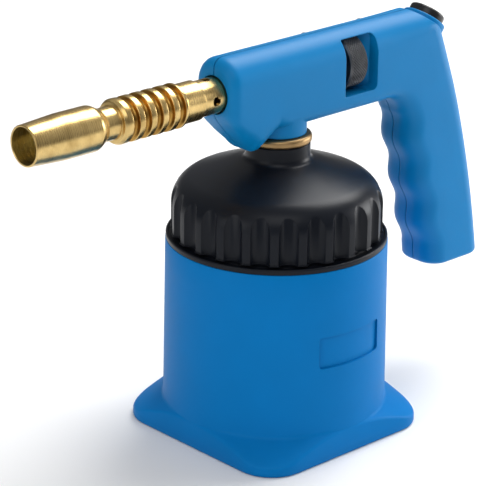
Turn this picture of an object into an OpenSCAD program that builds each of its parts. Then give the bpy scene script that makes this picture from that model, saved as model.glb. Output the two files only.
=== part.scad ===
// Gas blow torch on a cartridge container: a plastic cup holds a pierceable gas cartridge, a fluted dome
// screws onto it, and the pistol-shaped head carries the valve, the igniter and the brass burner.
// +Z is up, the origin is on the container's axis at the floor, and the burner points to -X.

/* [Cartridge] */
// Radius of the gas cartridge
cartridge_r = 45; // [38:0.5:52]
// Height of the cartridge to the top of its boss
cartridge_h = 90; // [86:0.5:96]
// Wall of the cartridge
cartridge_wall = 1; // [0.5:0.1:1.5]
// Radius of the boss that the needle pierces
cartridge_boss_r = 11; // [10:0.5:14]

/* [Container] */
// Gap between the cartridge and the container's bore
cartridge_gap = 0.7; // [0.4:0.1:1.5]
// Wall of the container at its rim
cup_wall = 2.3; // [1.8:0.1:3.5]
// Extra radius of the container at the floor
cup_draft = 1; // [0:0.1:1.5]
// Height of the container's rim above the floor
cup_h = 86; // [84:0.5:89]
// Thickness of the container's floor
floor_t = 3; // [2:0.5:4]
// Corner radius of the square foot
foot_corner_r = 17; // [10:0.5:24]
// Height at which the foot's sloped top meets the container
foot_h = 12.3; // [8:0.1:18]
// Slope of the foot's top
foot_slope = 31.5; // [20:0.5:40]
// Width of the bare plate recess on the container
plate_w = 34.6; // [20:0.2:44]
// Height of the bare plate recess
plate_h = 14.2; // [8:0.2:24]
// Height of the recess's centre above the floor
plate_z = 49.5; // [40:0.5:60]
// Depth of the recess
plate_d = 0.8; // [0.4:0.1:1.2]

/* [Dome cap] */
// Thickness of the cap's flange
flange_t = 2.3; // [2:0.1:3]
// Radius of the cap's skirt
skirt_r = 45.5; // [44.6:0.1:46]
// Height of the straight skirt above the flange
skirt_h = 13.2; // [10:0.1:16]
// Radius of the shoulder between skirt and crown
shoulder_r = 13; // [8:0.5:16]
// Slope of the crown
crown_slope = 20; // [12:1:24]
// Wall of the cap
cap_wall = 2.6; // [2:0.1:3.2]
// Radius of the neck under the lock ring
neck_r = 13.9; // [12.5:0.1:14.5]
// Height of the neck's top above the floor
neck_top_z = 129.3; // [127:0.1:131]
// Number of flutes round the skirt
flute_n = 24; // [12:1:30]
// Width of one flute
flute_w = 8.6; // [5:0.1:9]
// Depth of one flute
flute_d = 2.6; // [1.2:0.1:3]
// Wall of the cap behind the flutes
flute_wall = 1.6; // [1.2:0.1:2]
// Length of the threaded spigot under the flange
spigot_h = 9; // [6:0.5:10]
// Radial gap between spigot and container bore
spigot_gap = 0.3; // [0.2:0.1:0.6]

/* [Burner] */
// Height of the burner's axis above the floor
axis_z = 157; // [155:0.5:160]
// Distance from the container's axis to the burner's mouth
mouth_x = 136.6; // [125:0.1:150]
// Outer radius at the mouth
mouth_r = 8.5; // [7:0.1:10]
// Outer radius of the nozzle at its widest
nozzle_r = 9.5; // [8.5:0.1:11]
// Outer radius of the waist behind the nozzle
waist_r = 7; // [6.4:0.1:8]
// Outer radius of the cooling ribs
rib_r = 9.5; // [8.8:0.1:11]
// Outer radius of the plain burner tube
tube_r = 7.7; // [7.2:0.1:8.4]
// Bore of the burner tube
tube_bore_r = 6.1; // [5.6:0.1:6.4]
// Number of grooves between the ribs
groove_n = 5; // [3:1:5]
// Distance from groove to groove
groove_pitch = 6.1; // [5:0.1:6.1]
// Width of one groove
groove_w = 3.2; // [2:0.1:4]
// Radius of the air holes
air_hole_r = 2; // [1:0.1:2.4]
// Distance of the air holes from the container's axis
air_hole_x = 42.4; // [41:0.1:44]

/* [Handle] */
// Width of the handle across its two shells
handle_w = 24.4; // [24:0.2:28]
// Wall of the shells
shell_wall = 2.2; // [1.8:0.1:2.6]
// Height of the handle's top above the floor
handle_top_z = 172.6; // [172:0.1:176]
// Height of the barrel's underside above the floor
barrel_under_z = 137.5; // [136.5:0.1:138.5]
// Distance of the nose from the container's axis
nose_x = 37.4; // [36:0.1:40]
// Radius of the round boss that sits on the lock ring
boss_r = 12.1; // [11.5:0.1:12.2]
// Height of the grip's end above the floor
grip_end_z = 51.3; // [46:0.1:60]
// Depth of the finger grooves
finger_d = 1.2; // [0:0.1:2]
// Distance from finger groove to finger groove
finger_pitch = 20.6; // [17:0.1:22]
// Radius of the burner's hole in the nose, beyond the tube's radius
nose_hole_gap = 0.6; // [0.4:0.1:1]

/* [Valve and regulator] */
// Radius of the knurled wheel
wheel_r = 12.1; // [10:0.1:12.1]
// Width of the knurled wheel
wheel_w = 10.2; // [8:0.1:10.2]
// Distance of the wheel's front face from the container's axis
wheel_x = 31.5; // [30.5:0.1:31.5]
// Radius of the valve spindle
spindle_r = 2.5; // [2:0.1:3]
// Radial running clearance of the spindle
spindle_fit = 0.05; // [0.02:0.01:0.08]
// Radius of the valve body's threaded stem
stem_r = 9; // [7.5:0.1:9.5]
// Radius of the brass lock ring
ring_r = 14.5; // [13.5:0.1:15]
// Thickness of the brass lock ring
ring_t = 3.8; // [2.5:0.1:3.9]

/* [Igniter] */
// Tilt of the igniter button from the vertical
button_tilt = 37; // [34:1:40]
// Radius of the button's cap
button_r = 8.1; // [7:0.1:8.4]
// Height of the button's cap above its collar
button_h = 3.8; // [3:0.1:5]
// Travel of the button
button_travel = 3.5; // [2:0.1:3.7]
// Radius of the collar round the button
collar_r = 9.9; // [9.6:0.1:10.4]
// Radius of the igniter's plunger
plunger_r = 4; // [3:0.1:4.5]
// Radial running clearance of the plunger
plunger_fit = 0.06; // [0.02:0.01:0.1]

/* [Hidden] */
$fn = 72;

// Container
cup_bore_r = cartridge_r + cartridge_gap;
cup_r = cup_bore_r + cup_wall;
cup_base_r = cup_r + cup_draft;
foot_side = 2 * cup_base_r;
foot_tip_r = (cup_base_r - foot_corner_r) * sqrt(2) + foot_corner_r;
foot_tip_drop = (foot_tip_r - cup_base_r) * tan(foot_slope);

// Cartridge and needle
cartridge_top_z = floor_t + cartridge_h;
cartridge_edge_r = 3;
cartridge_shoulder_r = 20;
cartridge_shoulder_z = cup_h - spigot_h - 10;
cartridge_shoulder_deg = 60;
needle_r = 1.5;
needle_base_r = 4;
needle_base_h = 5;
needle_reach = 7;
needle_hole_gap = 0.7;
gasket_r = 8;
gasket_t = 3;

// Dome cap
flange_r = cup_r - 0.2;
flange_edge = 0.6;
flange_rim = 1.2;
slot_floor_t = 1.2;
slot_r = skirt_r - flute_d - 0.4;
lip_t = 0.5;
lip_out = 0.4;
flange_top_z = cup_h + flange_t;
shoulder_z = flange_top_z + skirt_h;
shoulder_cx = skirt_r - shoulder_r;
inner_r = skirt_r - flute_d - flute_wall;
inner_shoulder_r = shoulder_r - cap_wall;
inner_cx = inner_r - inner_shoulder_r;
inner_cz = shoulder_z + (shoulder_cx - inner_cx) * tan(crown_slope);
crown_start_r = shoulder_cx + shoulder_r * sin(crown_slope);
crown_start_z = shoulder_z + shoulder_r * cos(crown_slope);
neck_fillet = 2.5;
neck_foot_z = crown_start_z + (crown_start_r - neck_r - neck_fillet) * tan(crown_slope);
spigot_r = cup_bore_r - spigot_gap;
flute_r = (pow(flute_w / 2, 2) + pow(flute_d, 2)) / (2 * flute_d);
flute_cx = skirt_r - flute_d + flute_r;
flute_start_z = flange_top_z + 1.1;

// Valve body, from the bottom up
fit = 0.05;
stem_low_r = 8;
stem_low_z = cartridge_top_z + gasket_t;
stem_flange_r = 12;
stem_flange_t = 2.5;
washer_t = 1;
cap_roof_z = neck_top_z - 11.3;
stem_flange_z = cap_roof_z - washer_t - stem_flange_t;
ring_top_z = neck_top_z + ring_t;
stem_up_r = 7.5;
valve_r = 7.5;
valve_front_x = -9;
valve_back_x = 20;
passage_r = 1.5;
seat_r = 1.2;
seat_x = 2;
filter_r = 2.4;
filter_t = 3;
o_ring_room_r = 4;
o_ring_room_x = 16;
o_ring_x = 16.2;
o_ring_t = 1.6;
spindle_pitch = 0.75;
wheel_turns = 1.25;
spindle_lift = spindle_pitch * wheel_turns;
gland_spigot_x = o_ring_x + o_ring_t + spindle_lift + 0.2;
gland_hex_t = 4.5;
gland_hex_r = 6.5;
wheel_screw_r = 3.2;
wheel_screw_t = 1.4;
wheel_hub_x = wheel_x + wheel_w - wheel_screw_t - 0.2;

// Jet and burner, measured forward from the container's axis
holder_neck_r = 3;
holder_stub = 6;
holder_hex_x = 13;
holder_hex_t = 4;
holder_hex_r = 8.2;
tube_back_x = holder_hex_x + holder_hex_t;
holder_plug = 11;
jet_r = 2.6;
jet_len = 12;
jet_in_holder = 4;
jet_bore_r = 0.4;
electrode_y = 4.4;
insulator_r = 1.2;
electrode_r = 0.5;
collar_back_x = 48.5;
rib_back_x = 58.5;
first_groove_x = 62.2;
rib_front_x = first_groove_x + (groove_n - 1) * groove_pitch + 4.1;
waist_back_x = rib_front_x + 1.6;
electrode_end_x = 87.5;
waist_front_x = 99.2;
tube_step_r = 8.5;
groove_r = tube_step_r - 1;
nozzle_shoulder = 4;
nozzle_back_x = waist_front_x;
nozzle_spigot = 8;
nozzle_spigot_r = 5.3;
nozzle_throat_r = 4.3;
nozzle_wall = 0.9;
flame_holder_t = 2.5;
flame_holder_x = 110;

// Handle
half_w = handle_w / 2;
arch_z = handle_top_z - half_w;
barrel_edge_r = 5;
nose_edge_r = 4.5;
chin_z = 129.9;
chin_edge_r = 4;
grip_edge_r = 9;
grip_top_z = 150;
ring_room = 0.6;
boss_z = ring_top_z + 0.3;
boss_bore_r = stem_r + 0.3;
grip_front_x = 69.9;
grip_front_slope = 0.257;
grip_rear_r = 493;
grip_rear_cx = -366.2;
grip_rear_cz = -17.6;
grip_depth = 38.4;
fillet_r = 13;
finger_first_z = 123.4;
window_x1 = 27.7;
window_x2 = 47.2;
window_z1 = axis_z - wheel_r - 0.4;
window_z2 = axis_z + wheel_r + 0.6;
window_corner_r = 2;
partition_t = 2.2;
scoop_x = 43.1;
scoop_y = 3;
scoop_start_y = 7.4;
lead_way_z = 143.6;
screw_r = 1.4;
screw_head_r = 2.4;
screw_head_t = 1.8;
screw_head_seat = 5;
screw_boss_r = 3.6;
screw_len = 16;
screw_spots = [[-25, 143], [22.5, 168], [56, 168], [96, 104], [104, 62]];

// Igniter, with its axis leaning back from the vertical
button_spot = [89, 166.5];
collar_depth = 6;
collar_proud = 2.5;
button_gap = 0.3;
piezo_top = 11;
piezo_len = 20;
piezo_r = 6.3;
plunger_len = 12;
button_skirt = 5.5;
button_roof = 2;

// Ignition lead, from the igniter's end to the back of the electrode's insulator
lead_r = 1;
lead_sides = 8;
lead_steps = 4;
lead_points = [
    [67.1, 0, 144], [66.2, 0, 142.8], [64.2, 0.8, 141.6], [60.5, 2.6, 141.2], [54, 5.6, 141.2],
    [36, 6.5, 141.2],
    [20, 8, 141.4], [8, 8.7, 141.6], [-4, 8.7, 143], [-10.6, 8.6, 147], [-11.2, 7.2, 153],
    [-11.3, 5, 156.4], [-13, electrode_y, axis_z]
];

// ---------------------------------------------------------------- shared shapes

// Points of an arc in the plane, from angle a1 to a2
function arc(cx, cy, r, a1, a2, n = 10) =
    [for (i = [0:n]) let (a = a1 + (a2 - a1) * i / n) [cx + r * cos(a), cy + r * sin(a)]];

// Places children on the burner's axis with their +Z running forward, from x = -start
module forward(start = 0) {
    translate([-start, 0, axis_z]) rotate([0, -90, 0]) children();
}

// Places children on the valve's axis with their +Z running back towards the grip
module backward(start = 0) {
    translate([start, 0, axis_z]) rotate([0, 90, 0]) children();
}

// Places children on the igniter's axis, +Z out of the button, at a depth below the collar's rim
module on_igniter(depth = 0) {
    translate([button_spot[0], 0, button_spot[1]]) rotate([0, button_tilt, 0])
        translate([0, 0, -depth]) children();
}

// Extrudes a side outline (x, z) across the handle between two y values
module across(y1, y2) {
    translate([0, y2, 0]) rotate([90, 0, 0]) linear_extrude(y2 - y1) children();
}

module rounded_square(size, r) {
    inner = [size[0] - 2 * r, size[1] - 2 * r];
    square([size[0], inner[1]], center = true);
    square([inner[0], size[1]], center = true);
    for (sx = [-1, 1], sy = [-1, 1]) translate([sx * inner[0] / 2, sy * inner[1] / 2]) circle(r);
}

module tube(r, bore, h) {
    difference() {
        cylinder(r = r, h = h);
        translate([0, 0, -1]) cylinder(r = bore, h = h + 2);
    }
}

// ---------------------------------------------------------------- container and cartridge

module foot() {
    intersection() {
        linear_extrude(foot_h) rounded_square([foot_side, foot_side], foot_corner_r);
        union() {
            cylinder(r = foot_tip_r + 1, h = foot_h - foot_tip_drop);
            translate([0, 0, foot_h - foot_tip_drop])
                cylinder(r1 = foot_tip_r, r2 = cup_base_r, h = foot_tip_drop);
        }
    }
}

module plate_recess() {
    difference() {
        translate([0, -cup_base_r, plate_z]) rotate([90, 0, 0])
            linear_extrude(12, center = true) rounded_square([plate_w, plate_h], 1);
        cylinder(r = cup_r + cup_draft * (1 - plate_z / cup_h) - plate_d, h = cup_h);
    }
}

module container() {
    color("dodgerblue") difference() {
        union() {
            cylinder(r1 = cup_base_r, r2 = cup_r, h = cup_h);
            foot();
        }
        translate([0, 0, floor_t]) cylinder(r = cup_bore_r, h = cup_h);
        plate_recess();
    }
}

// Half outline of the cartridge, inset by d
module cartridge_outline(d = 0) {
    edge = cartridge_edge_r;
    shoulder_cx = cartridge_r - cartridge_shoulder_r;
    polygon(concat(
        [[0, d]],
        arc(cartridge_r - edge, edge, edge - d, -90, 0, 6),
        arc(shoulder_cx, cartridge_shoulder_z - floor_t, cartridge_shoulder_r - d, 0, cartridge_shoulder_deg),
        [[cartridge_boss_r + 4, cartridge_h - 3 - d], [cartridge_boss_r - d, cartridge_h - 3 - d],
         [cartridge_boss_r - d, cartridge_h - d], [0, cartridge_h - d]]
    ));
}

module cartridge() {
    color("lightsteelblue") difference() {
        translate([0, 0, floor_t]) rotate_extrude() cartridge_outline();
        translate([0, 0, floor_t]) rotate_extrude() cartridge_outline(cartridge_wall);
        translate([0, 0, cartridge_top_z - 3]) cylinder(r = needle_r + needle_hole_gap, h = 4);
    }
}

module cartridge_gasket() {
    color("black") translate([0, 0, cartridge_top_z]) tube(gasket_r, needle_r + 0.3, gasket_t);
}

// ---------------------------------------------------------------- dome cap

module dome_outline() {
    polygon(concat(
        [[spigot_r, cup_h - spigot_h], [spigot_r, cup_h], [flange_r, cup_h]],
        arc(flange_r - flange_edge, flange_top_z - flange_edge, flange_edge, 0, 90, 5),
        [[flange_r - flange_rim, flange_top_z], [flange_r - flange_rim, cup_h + slot_floor_t],
         [slot_r, cup_h + slot_floor_t], [slot_r, flute_start_z - lip_t],
         [skirt_r + lip_out, flute_start_z - lip_t], [skirt_r + lip_out, flute_start_z],
         [skirt_r, flute_start_z]],
        arc(shoulder_cx, shoulder_z, shoulder_r, 0, 90 - crown_slope),
        arc(neck_r + neck_fillet, neck_foot_z + neck_fillet, neck_fillet, 270 - crown_slope, 180, 6),
        [[neck_r, neck_top_z], [stem_r + fit, neck_top_z], [stem_r + fit, cap_roof_z]],
        [[neck_r + 2, cap_roof_z], [neck_r + 2, neck_foot_z - cap_wall]],
        arc(inner_cx, inner_cz, inner_shoulder_r, 90 - crown_slope, 0),
        [[inner_r, cup_h], [spigot_r - cap_wall, cup_h - spigot_h]]
    ));
}

module dome_cap() {
    color("#1b1b1d") difference() {
        rotate_extrude() dome_outline();
        for (i = [0:flute_n - 1]) rotate([0, 0, (i + 0.5) * 360 / flute_n]) {
            translate([flute_cx, 0, flute_start_z]) cylinder(r = flute_r, h = skirt_h + shoulder_r);
            translate([flute_cx, 0, flute_start_z - lip_t - 0.1]) cylinder(r = flute_r - lip_out, h = 2 * lip_t);
        }
    }
}

module stem_washer() {
    color("firebrick") translate([0, 0, cap_roof_z - washer_t]) tube(stem_flange_r, stem_r + fit, washer_t);
}

module lock_ring() {
    edge = 0.8;
    color("goldenrod") rotate_extrude() polygon(concat(
        [[stem_r + fit, neck_top_z]],
        arc(ring_r - edge, neck_top_z + edge, edge, -90, 0, 4),
        arc(ring_r - edge, ring_top_z - edge, edge, 0, 90, 4),
        [[stem_r + fit, ring_top_z]]
    ));
}

// ---------------------------------------------------------------- valve

module valve_body() {
    color("gold") difference() {
        union() {
            translate([0, 0, stem_low_z]) cylinder(r = stem_low_r, h = stem_flange_z - stem_low_z);
            translate([0, 0, stem_flange_z]) cylinder(r = stem_flange_r, h = stem_flange_t);
            translate([0, 0, stem_flange_z + stem_flange_t])
                cylinder(r = stem_r, h = ring_top_z - stem_flange_z - stem_flange_t);
            translate([0, 0, ring_top_z]) cylinder(r = stem_up_r, h = axis_z - ring_top_z);
            backward(valve_front_x) cylinder(r = valve_r, h = valve_back_x - valve_front_x);
        }
        translate([0, 0, stem_low_z - 1]) cylinder(r = needle_base_r + fit, h = needle_base_h + 1);
        translate([0, 0, stem_low_z]) cylinder(r = filter_r + fit, h = needle_base_h + filter_t);
        translate([0, 0, stem_low_z]) cylinder(r = passage_r, h = axis_z - stem_low_z);
        forward(-seat_x) cylinder(r = seat_r, h = 20);
        forward(-valve_front_x - holder_stub) cylinder(r = holder_neck_r + fit, h = holder_stub + 1);
        backward(seat_x) cylinder(r = spindle_r + spindle_fit, h = valve_back_x);
        backward(o_ring_room_x) cylinder(r = o_ring_room_r + fit, h = valve_back_x);
    }
}

module piercing_needle() {
    tip = 3;
    color("silver") difference() {
        union() {
            translate([0, 0, stem_low_z + 0.2]) cylinder(r = needle_base_r, h = needle_base_h - 0.2);
            translate([0, 0, cartridge_top_z - needle_reach + tip])
                cylinder(r = needle_r, h = needle_reach - tip + gasket_t + 1);
            translate([0, 0, cartridge_top_z - needle_reach]) cylinder(r1 = 0.6, r2 = needle_r, h = tip);
        }
        translate([0, 0, cartridge_top_z - needle_reach - 1]) cylinder(r = 0.4, h = 40);
    }
}

module gas_filter() {
    color("peru") translate([0, 0, stem_low_z + needle_base_h]) cylinder(r = filter_r, h = filter_t);
}

module spindle_o_ring() {
    color("#101010") backward(o_ring_x) tube(o_ring_room_r, spindle_r + spindle_fit, o_ring_t);
}

module gland_nut() {
    color("gold") difference() {
        union() {
            backward(gland_spigot_x) cylinder(r = o_ring_room_r, h = valve_back_x - gland_spigot_x + 1);
            backward(valve_back_x) cylinder(r = gland_hex_r, h = gland_hex_t, $fn = 6);
        }
        backward(gland_spigot_x - 1) cylinder(r = spindle_r + spindle_fit, h = gland_hex_t + 6);
    }
}

module valve_spindle() {
    tip = 2;
    color("silver") {
        backward(seat_x + tip) cylinder(r = spindle_r, h = wheel_hub_x - seat_x - tip);
        backward(seat_x) cylinder(r1 = seat_r - 0.3, r2 = spindle_r, h = tip);
    }
}

module regulator_wheel() {
    edge = 0.6;
    color("#3a3a3c") backward(wheel_x) rotate_extrude() polygon([
        [spindle_r, 0], [wheel_r - edge, 0], [wheel_r, edge],
        [wheel_r, wheel_w - edge], [wheel_r - edge, wheel_w], [wheel_screw_r + 0.4, wheel_w],
        [wheel_screw_r + 0.4, wheel_hub_x - wheel_x], [spindle_r, wheel_hub_x - wheel_x]
    ]);
}

module wheel_screw() {
    color("silver") difference() {
        backward(wheel_hub_x) cylinder(r1 = wheel_screw_r, r2 = wheel_screw_r - 0.5, h = wheel_screw_t);
        backward(wheel_hub_x + wheel_screw_t - 0.6)
            linear_extrude(2) square([0.8, 2 * wheel_screw_r + 1], center = true);
    }
}

// ---------------------------------------------------------------- jet and burner

module jet_holder() {
    color("gold") difference() {
        union() {
            forward(-valve_front_x - holder_stub)
                cylinder(r = holder_neck_r, h = holder_stub + holder_hex_x + valve_front_x + 1);
            forward(holder_hex_x) cylinder(r = holder_hex_r, h = holder_hex_t, $fn = 6);
            forward(tube_back_x) cylinder(r = tube_bore_r - fit, h = holder_plug);
        }
        forward(-valve_front_x - holder_stub - 1) cylinder(r = seat_r, h = holder_stub + 30);
        forward(tube_back_x + holder_plug - jet_in_holder) cylinder(r = jet_r + fit, h = jet_in_holder + 1);
        translate([0, electrode_y, 0]) forward(holder_hex_x - 1)
            cylinder(r = insulator_r + fit, h = holder_hex_t + holder_plug + 2);
    }
}

module gas_jet() {
    start = tube_back_x + holder_plug - jet_in_holder;
    color("gold") difference() {
        union() {
            forward(start) cylinder(r = jet_r, h = jet_len - 3);
            forward(start + jet_len - 3) cylinder(r1 = jet_r, r2 = 1.4, h = 3);
        }
        forward(start - 1) cylinder(r = seat_r, h = jet_len - 1);
        forward(start) cylinder(r = jet_bore_r, h = jet_len + 1);
    }
}

module groove(x) {
    r = groove_w / 2;
    forward(x) rotate_extrude() polygon(concat(
        [[rib_r + 1, -r], [rib_r + 1, r]],
        [for (p = arc(groove_r + r, 0, r, 90, 270, 8)) p]
    ));
}

module burner_tube() {
    color("goldenrod") difference() {
        forward() rotate_extrude() polygon([
            [tube_bore_r, tube_back_x], [tube_r, tube_back_x], [tube_r, collar_back_x],
            [tube_step_r - 0.4, collar_back_x + 0.6], [tube_step_r, collar_back_x + 1.5],
            [tube_step_r, rib_back_x - 1], [rib_r, rib_back_x], [rib_r, rib_front_x],
            [rib_r - 0.9, rib_front_x + 0.9], [waist_r, waist_back_x], [waist_r, waist_front_x],
            [nozzle_spigot_r + fit, waist_front_x], [nozzle_spigot_r + fit, waist_front_x - nozzle_spigot - 1],
            [tube_bore_r, waist_front_x - nozzle_spigot - 2]
        ]);
        for (i = [0:groove_n - 1]) groove(first_groove_x + i * groove_pitch);
        for (side = [0:90:270]) translate([-air_hole_x, 0, axis_z]) rotate([side, 0, 0])
            cylinder(r = air_hole_r, h = tube_r + 1);
    }
}

module burner_nozzle() {
    flare = mouth_x - nozzle_back_x;
    color("goldenrod") forward(nozzle_back_x) rotate_extrude() polygon(concat(
        [[nozzle_throat_r, -nozzle_spigot], [nozzle_spigot_r, -nozzle_spigot], [nozzle_spigot_r, 0],
         [waist_r, 0]],
        arc(nozzle_r - nozzle_shoulder * 0.6, nozzle_shoulder, nozzle_shoulder * 0.6, -60, 0, 6),
        [[nozzle_r, flare * 0.45], [nozzle_r - 0.25, flare * 0.75], [mouth_r, flare],
         [mouth_r - nozzle_wall, flare], [nozzle_r - nozzle_wall - 0.3, flare * 0.72],
         [nozzle_r - nozzle_wall - 0.3, nozzle_shoulder + 2.5], [nozzle_throat_r, nozzle_shoulder]]
    ));
}

module flame_holder() {
    hole_r = 1.1;
    ring = 4.6;
    r = nozzle_r - nozzle_wall - 0.35;
    color("silver") difference() {
        forward(flame_holder_x) cylinder(r = r, h = flame_holder_t);
        for (i = [0:7]) translate([0, 0, axis_z]) rotate([i * 45 + 22.5, 0, 0])
            translate([0, 0, ring + 1.3 - axis_z]) forward(flame_holder_x - 1)
                cylinder(r = hole_r, h = flame_holder_t + 2);
        forward(flame_holder_x - 1) cylinder(r = 2.6, h = flame_holder_t + 2);
        translate([0, electrode_y - 0.6, 0]) forward(flame_holder_x - 1)
            cylinder(r = electrode_r + 0.1, h = flame_holder_t + 2);
    }
}

module electrode_insulator() {
    color("white") translate([0, electrode_y, 0]) forward(holder_hex_x)
        tube(insulator_r, electrode_r, electrode_end_x - holder_hex_x);
}

module ignition_electrode() {
    start = holder_hex_x + 1;
    color("silver") translate([0, electrode_y, 0]) forward(start)
        cylinder(r = electrode_r, h = electrode_end_x - start + 2);
}

// Route through the lead's points, rounded by Catmull-Rom steps
function spline(p, i, t) =
    let (a = p[max(i - 1, 0)], b = p[i], c = p[i + 1], d = p[min(i + 2, len(p) - 1)])
    0.5 * (2 * b + (c - a) * t + (2 * a - 5 * b + 4 * c - d) * t * t + (3 * b - a - 3 * c + d) * t * t * t);
lead_route = concat(
    [for (i = [0:len(lead_points) - 2], s = [0:lead_steps - 1]) spline(lead_points, i, s / lead_steps)],
    [lead_points[len(lead_points) - 1]]
);

function unit(v) = v / norm(v);
function heading(p, i) = unit(p[min(i + 1, len(p) - 1)] - p[max(i - 1, 0)]);
lead_side_ref = [0.2, 1, 0.3];

module ignition_lead() {
    n = len(lead_route);
    rings = [for (i = [0:n - 1]) let (t = heading(lead_route, i), u = unit(cross(t, lead_side_ref)),
                                      v = cross(t, u))
        for (k = [0:lead_sides - 1]) let (a = 360 * k / lead_sides)
            lead_route[i] + lead_r * (cos(a) * u + sin(a) * v)];
    ends = [[for (k = [lead_sides - 1:-1:0]) k], [for (k = [0:lead_sides - 1]) (n - 1) * lead_sides + k]];
    sides = [for (i = [0:n - 2], k = [0:lead_sides - 1]) let (k2 = (k + 1) % lead_sides, a = i * lead_sides)
        [a + k, a + k2, a + lead_sides + k2, a + lead_sides + k]];
    flipped = [for (f = concat(ends, sides)) [for (j = [len(f) - 1:-1:0]) f[j]]];
    color("#222222") polyhedron(rings, flipped, convexity = 6);
}

// ---------------------------------------------------------------- igniter

module piezo_igniter() {
    color("#26262a") difference() {
        union() {
            on_igniter(piezo_top + piezo_len) cylinder(r = piezo_r, h = piezo_len);
            on_igniter(piezo_top) cylinder(r = piezo_r - 1, h = piezo_top - collar_depth);
        }
        on_igniter(piezo_top + plunger_len) cylinder(r = plunger_r + plunger_fit, h = 30);
    }
}

module igniter_plunger() {
    color("ivory") on_igniter(piezo_top + plunger_len - button_travel - 0.5)
        cylinder(r = plunger_r, h = plunger_len + piezo_top - button_travel - 0.5 - button_roof + button_h);
}

module igniter_button() {
    edge = 1;
    bore = plunger_r;
    color("#151515") on_igniter(0) difference() {
        rotate_extrude() polygon(concat(
            [[0, button_h], [0, -1]],
            [[button_r, -1]],
            arc(button_r - edge, button_h - edge, edge, 0, 90, 4)
        ));
        translate([0, 0, -2]) cylinder(r = bore, h = 2 + button_h - button_roof);
    }
}

module button_collar() {
    bore = button_r + button_gap;
    color("dodgerblue") difference() {
        on_igniter(collar_depth) cylinder(r = collar_r, h = collar_depth);
        on_igniter(collar_depth - 1) cylinder(r = bore, h = collar_depth + 1);
        on_igniter(collar_depth + 1) cylinder(r = plunger_r + 0.5, h = collar_depth);
    }
}

// ---------------------------------------------------------------- handle

function grip_rear(z) = grip_rear_cx + sqrt(pow(grip_rear_r, 2) - pow(z - grip_rear_cz, 2));
function finger(z) = finger_d * cos(360 * (z - finger_first_z) / finger_pitch);
function grip_front(z, grooves) =
    grip_front_x + (122 - z) * grip_front_slope + (grooves ? finger(z) : 0);

// Side outline of the grip, inset by d
module grip_outline(d = 0) {
    step = 2.5;
    low = grip_end_z + d;
    polygon(concat(
        [for (z = [low + 2:step:finger_first_z + 6]) [grip_front(z, d == 0) + (d > 0 ? finger_d + d : 0), z]],
        [[grip_front(finger_first_z + 6, false) + d, barrel_under_z + 4], [68, grip_top_z]],
        [[grip_rear(grip_top_z) - d, grip_top_z]],
        [for (z = [grip_top_z - 10:-10:low + 4]) [grip_rear(z) - d, z]],
        [[grip_rear(low + 2) - d, low + 2], [grip_rear(low) - d - 2, low],
         [grip_front(low, false) + (d > 0 ? finger_d + d : 0) + 2, low]]
    ));
}

// The grip, cut from a leaning beam with rounded edges
module grip_solid(d = 0) {
    lean = atan(grip_front_slope);
    front = grip_front(grip_end_z, false) - finger_d;
    size = [grip_depth * cos(lean), handle_w];
    intersection() {
        across(-20, 20) grip_outline(d);
        translate([front, 0, grip_end_z]) rotate([0, -lean, 0]) translate([size[0] / 2, 0, -15])
            linear_extrude(150) rounded_square([size[0] - 2 * d, size[1] - 2 * d], grip_edge_r - d);
    }
}

// Cross-section of the barrel: a round top on straight sides
module barrel_section(d = 0) {
    translate([0, arch_z]) circle(half_w - d);
    edge = barrel_edge_r - d * 0.8;
    low = barrel_under_z + d;
    translate([-half_w + d, low + edge]) square([handle_w - 2 * d, arch_z - low - edge]);
    translate([-half_w + d + edge, low]) square([handle_w - 2 * d - 2 * edge, edge + 1]);
    for (s = [-1, 1]) translate([s * (half_w - d - edge), low + edge]) circle(edge);
}

// Side outline of the barrel, with the cut corner that carries the button
module barrel_outline(d = 0) {
    corner = [button_spot[0] - (collar_proud + d) * sin(button_tilt),
              button_spot[1] - (collar_proud + d) * cos(button_tilt)];
    along = [cos(button_tilt), -sin(button_tilt)];
    top = (corner[1] - (handle_top_z - d)) / sin(button_tilt);
    low = corner + along * 10.9;
    polygon(concat(
        arc(-nose_x + nose_edge_r, handle_top_z - nose_edge_r, nose_edge_r - d, 180, 90, 6),
        [corner + along * top, low - along * d, [grip_rear(grip_top_z) - d, grip_top_z],
         [grip_rear(barrel_under_z) - d, barrel_under_z - 5]],
        [[-nose_x + d, barrel_under_z - 5]]
    ));
}

module nose_plan(d = 0) {
    r = nose_edge_r;
    translate([-nose_x + r, -half_w]) square([150, handle_w]);
    translate([-nose_x + d, -half_w + r]) square([150, handle_w - 2 * r]);
    for (s = [-1, 1]) translate([-nose_x + r, s * (half_w - r)]) circle(r - d);
}

module barrel_solid(d = 0) {
    intersection() {
        across(-half_w, half_w) barrel_outline(d);
        translate([-60, 0, 0]) rotate([90, 0, 90]) linear_extrude(170) barrel_section(d);
        linear_extrude(200) nose_plan(d);
    }
}

chin_front = [-nose_x, 147.6];
chin_foot = [-22.9, 131.1];
chin_dir = atan2(chin_front[1] - chin_foot[1], chin_front[0] - chin_foot[0]);

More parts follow.
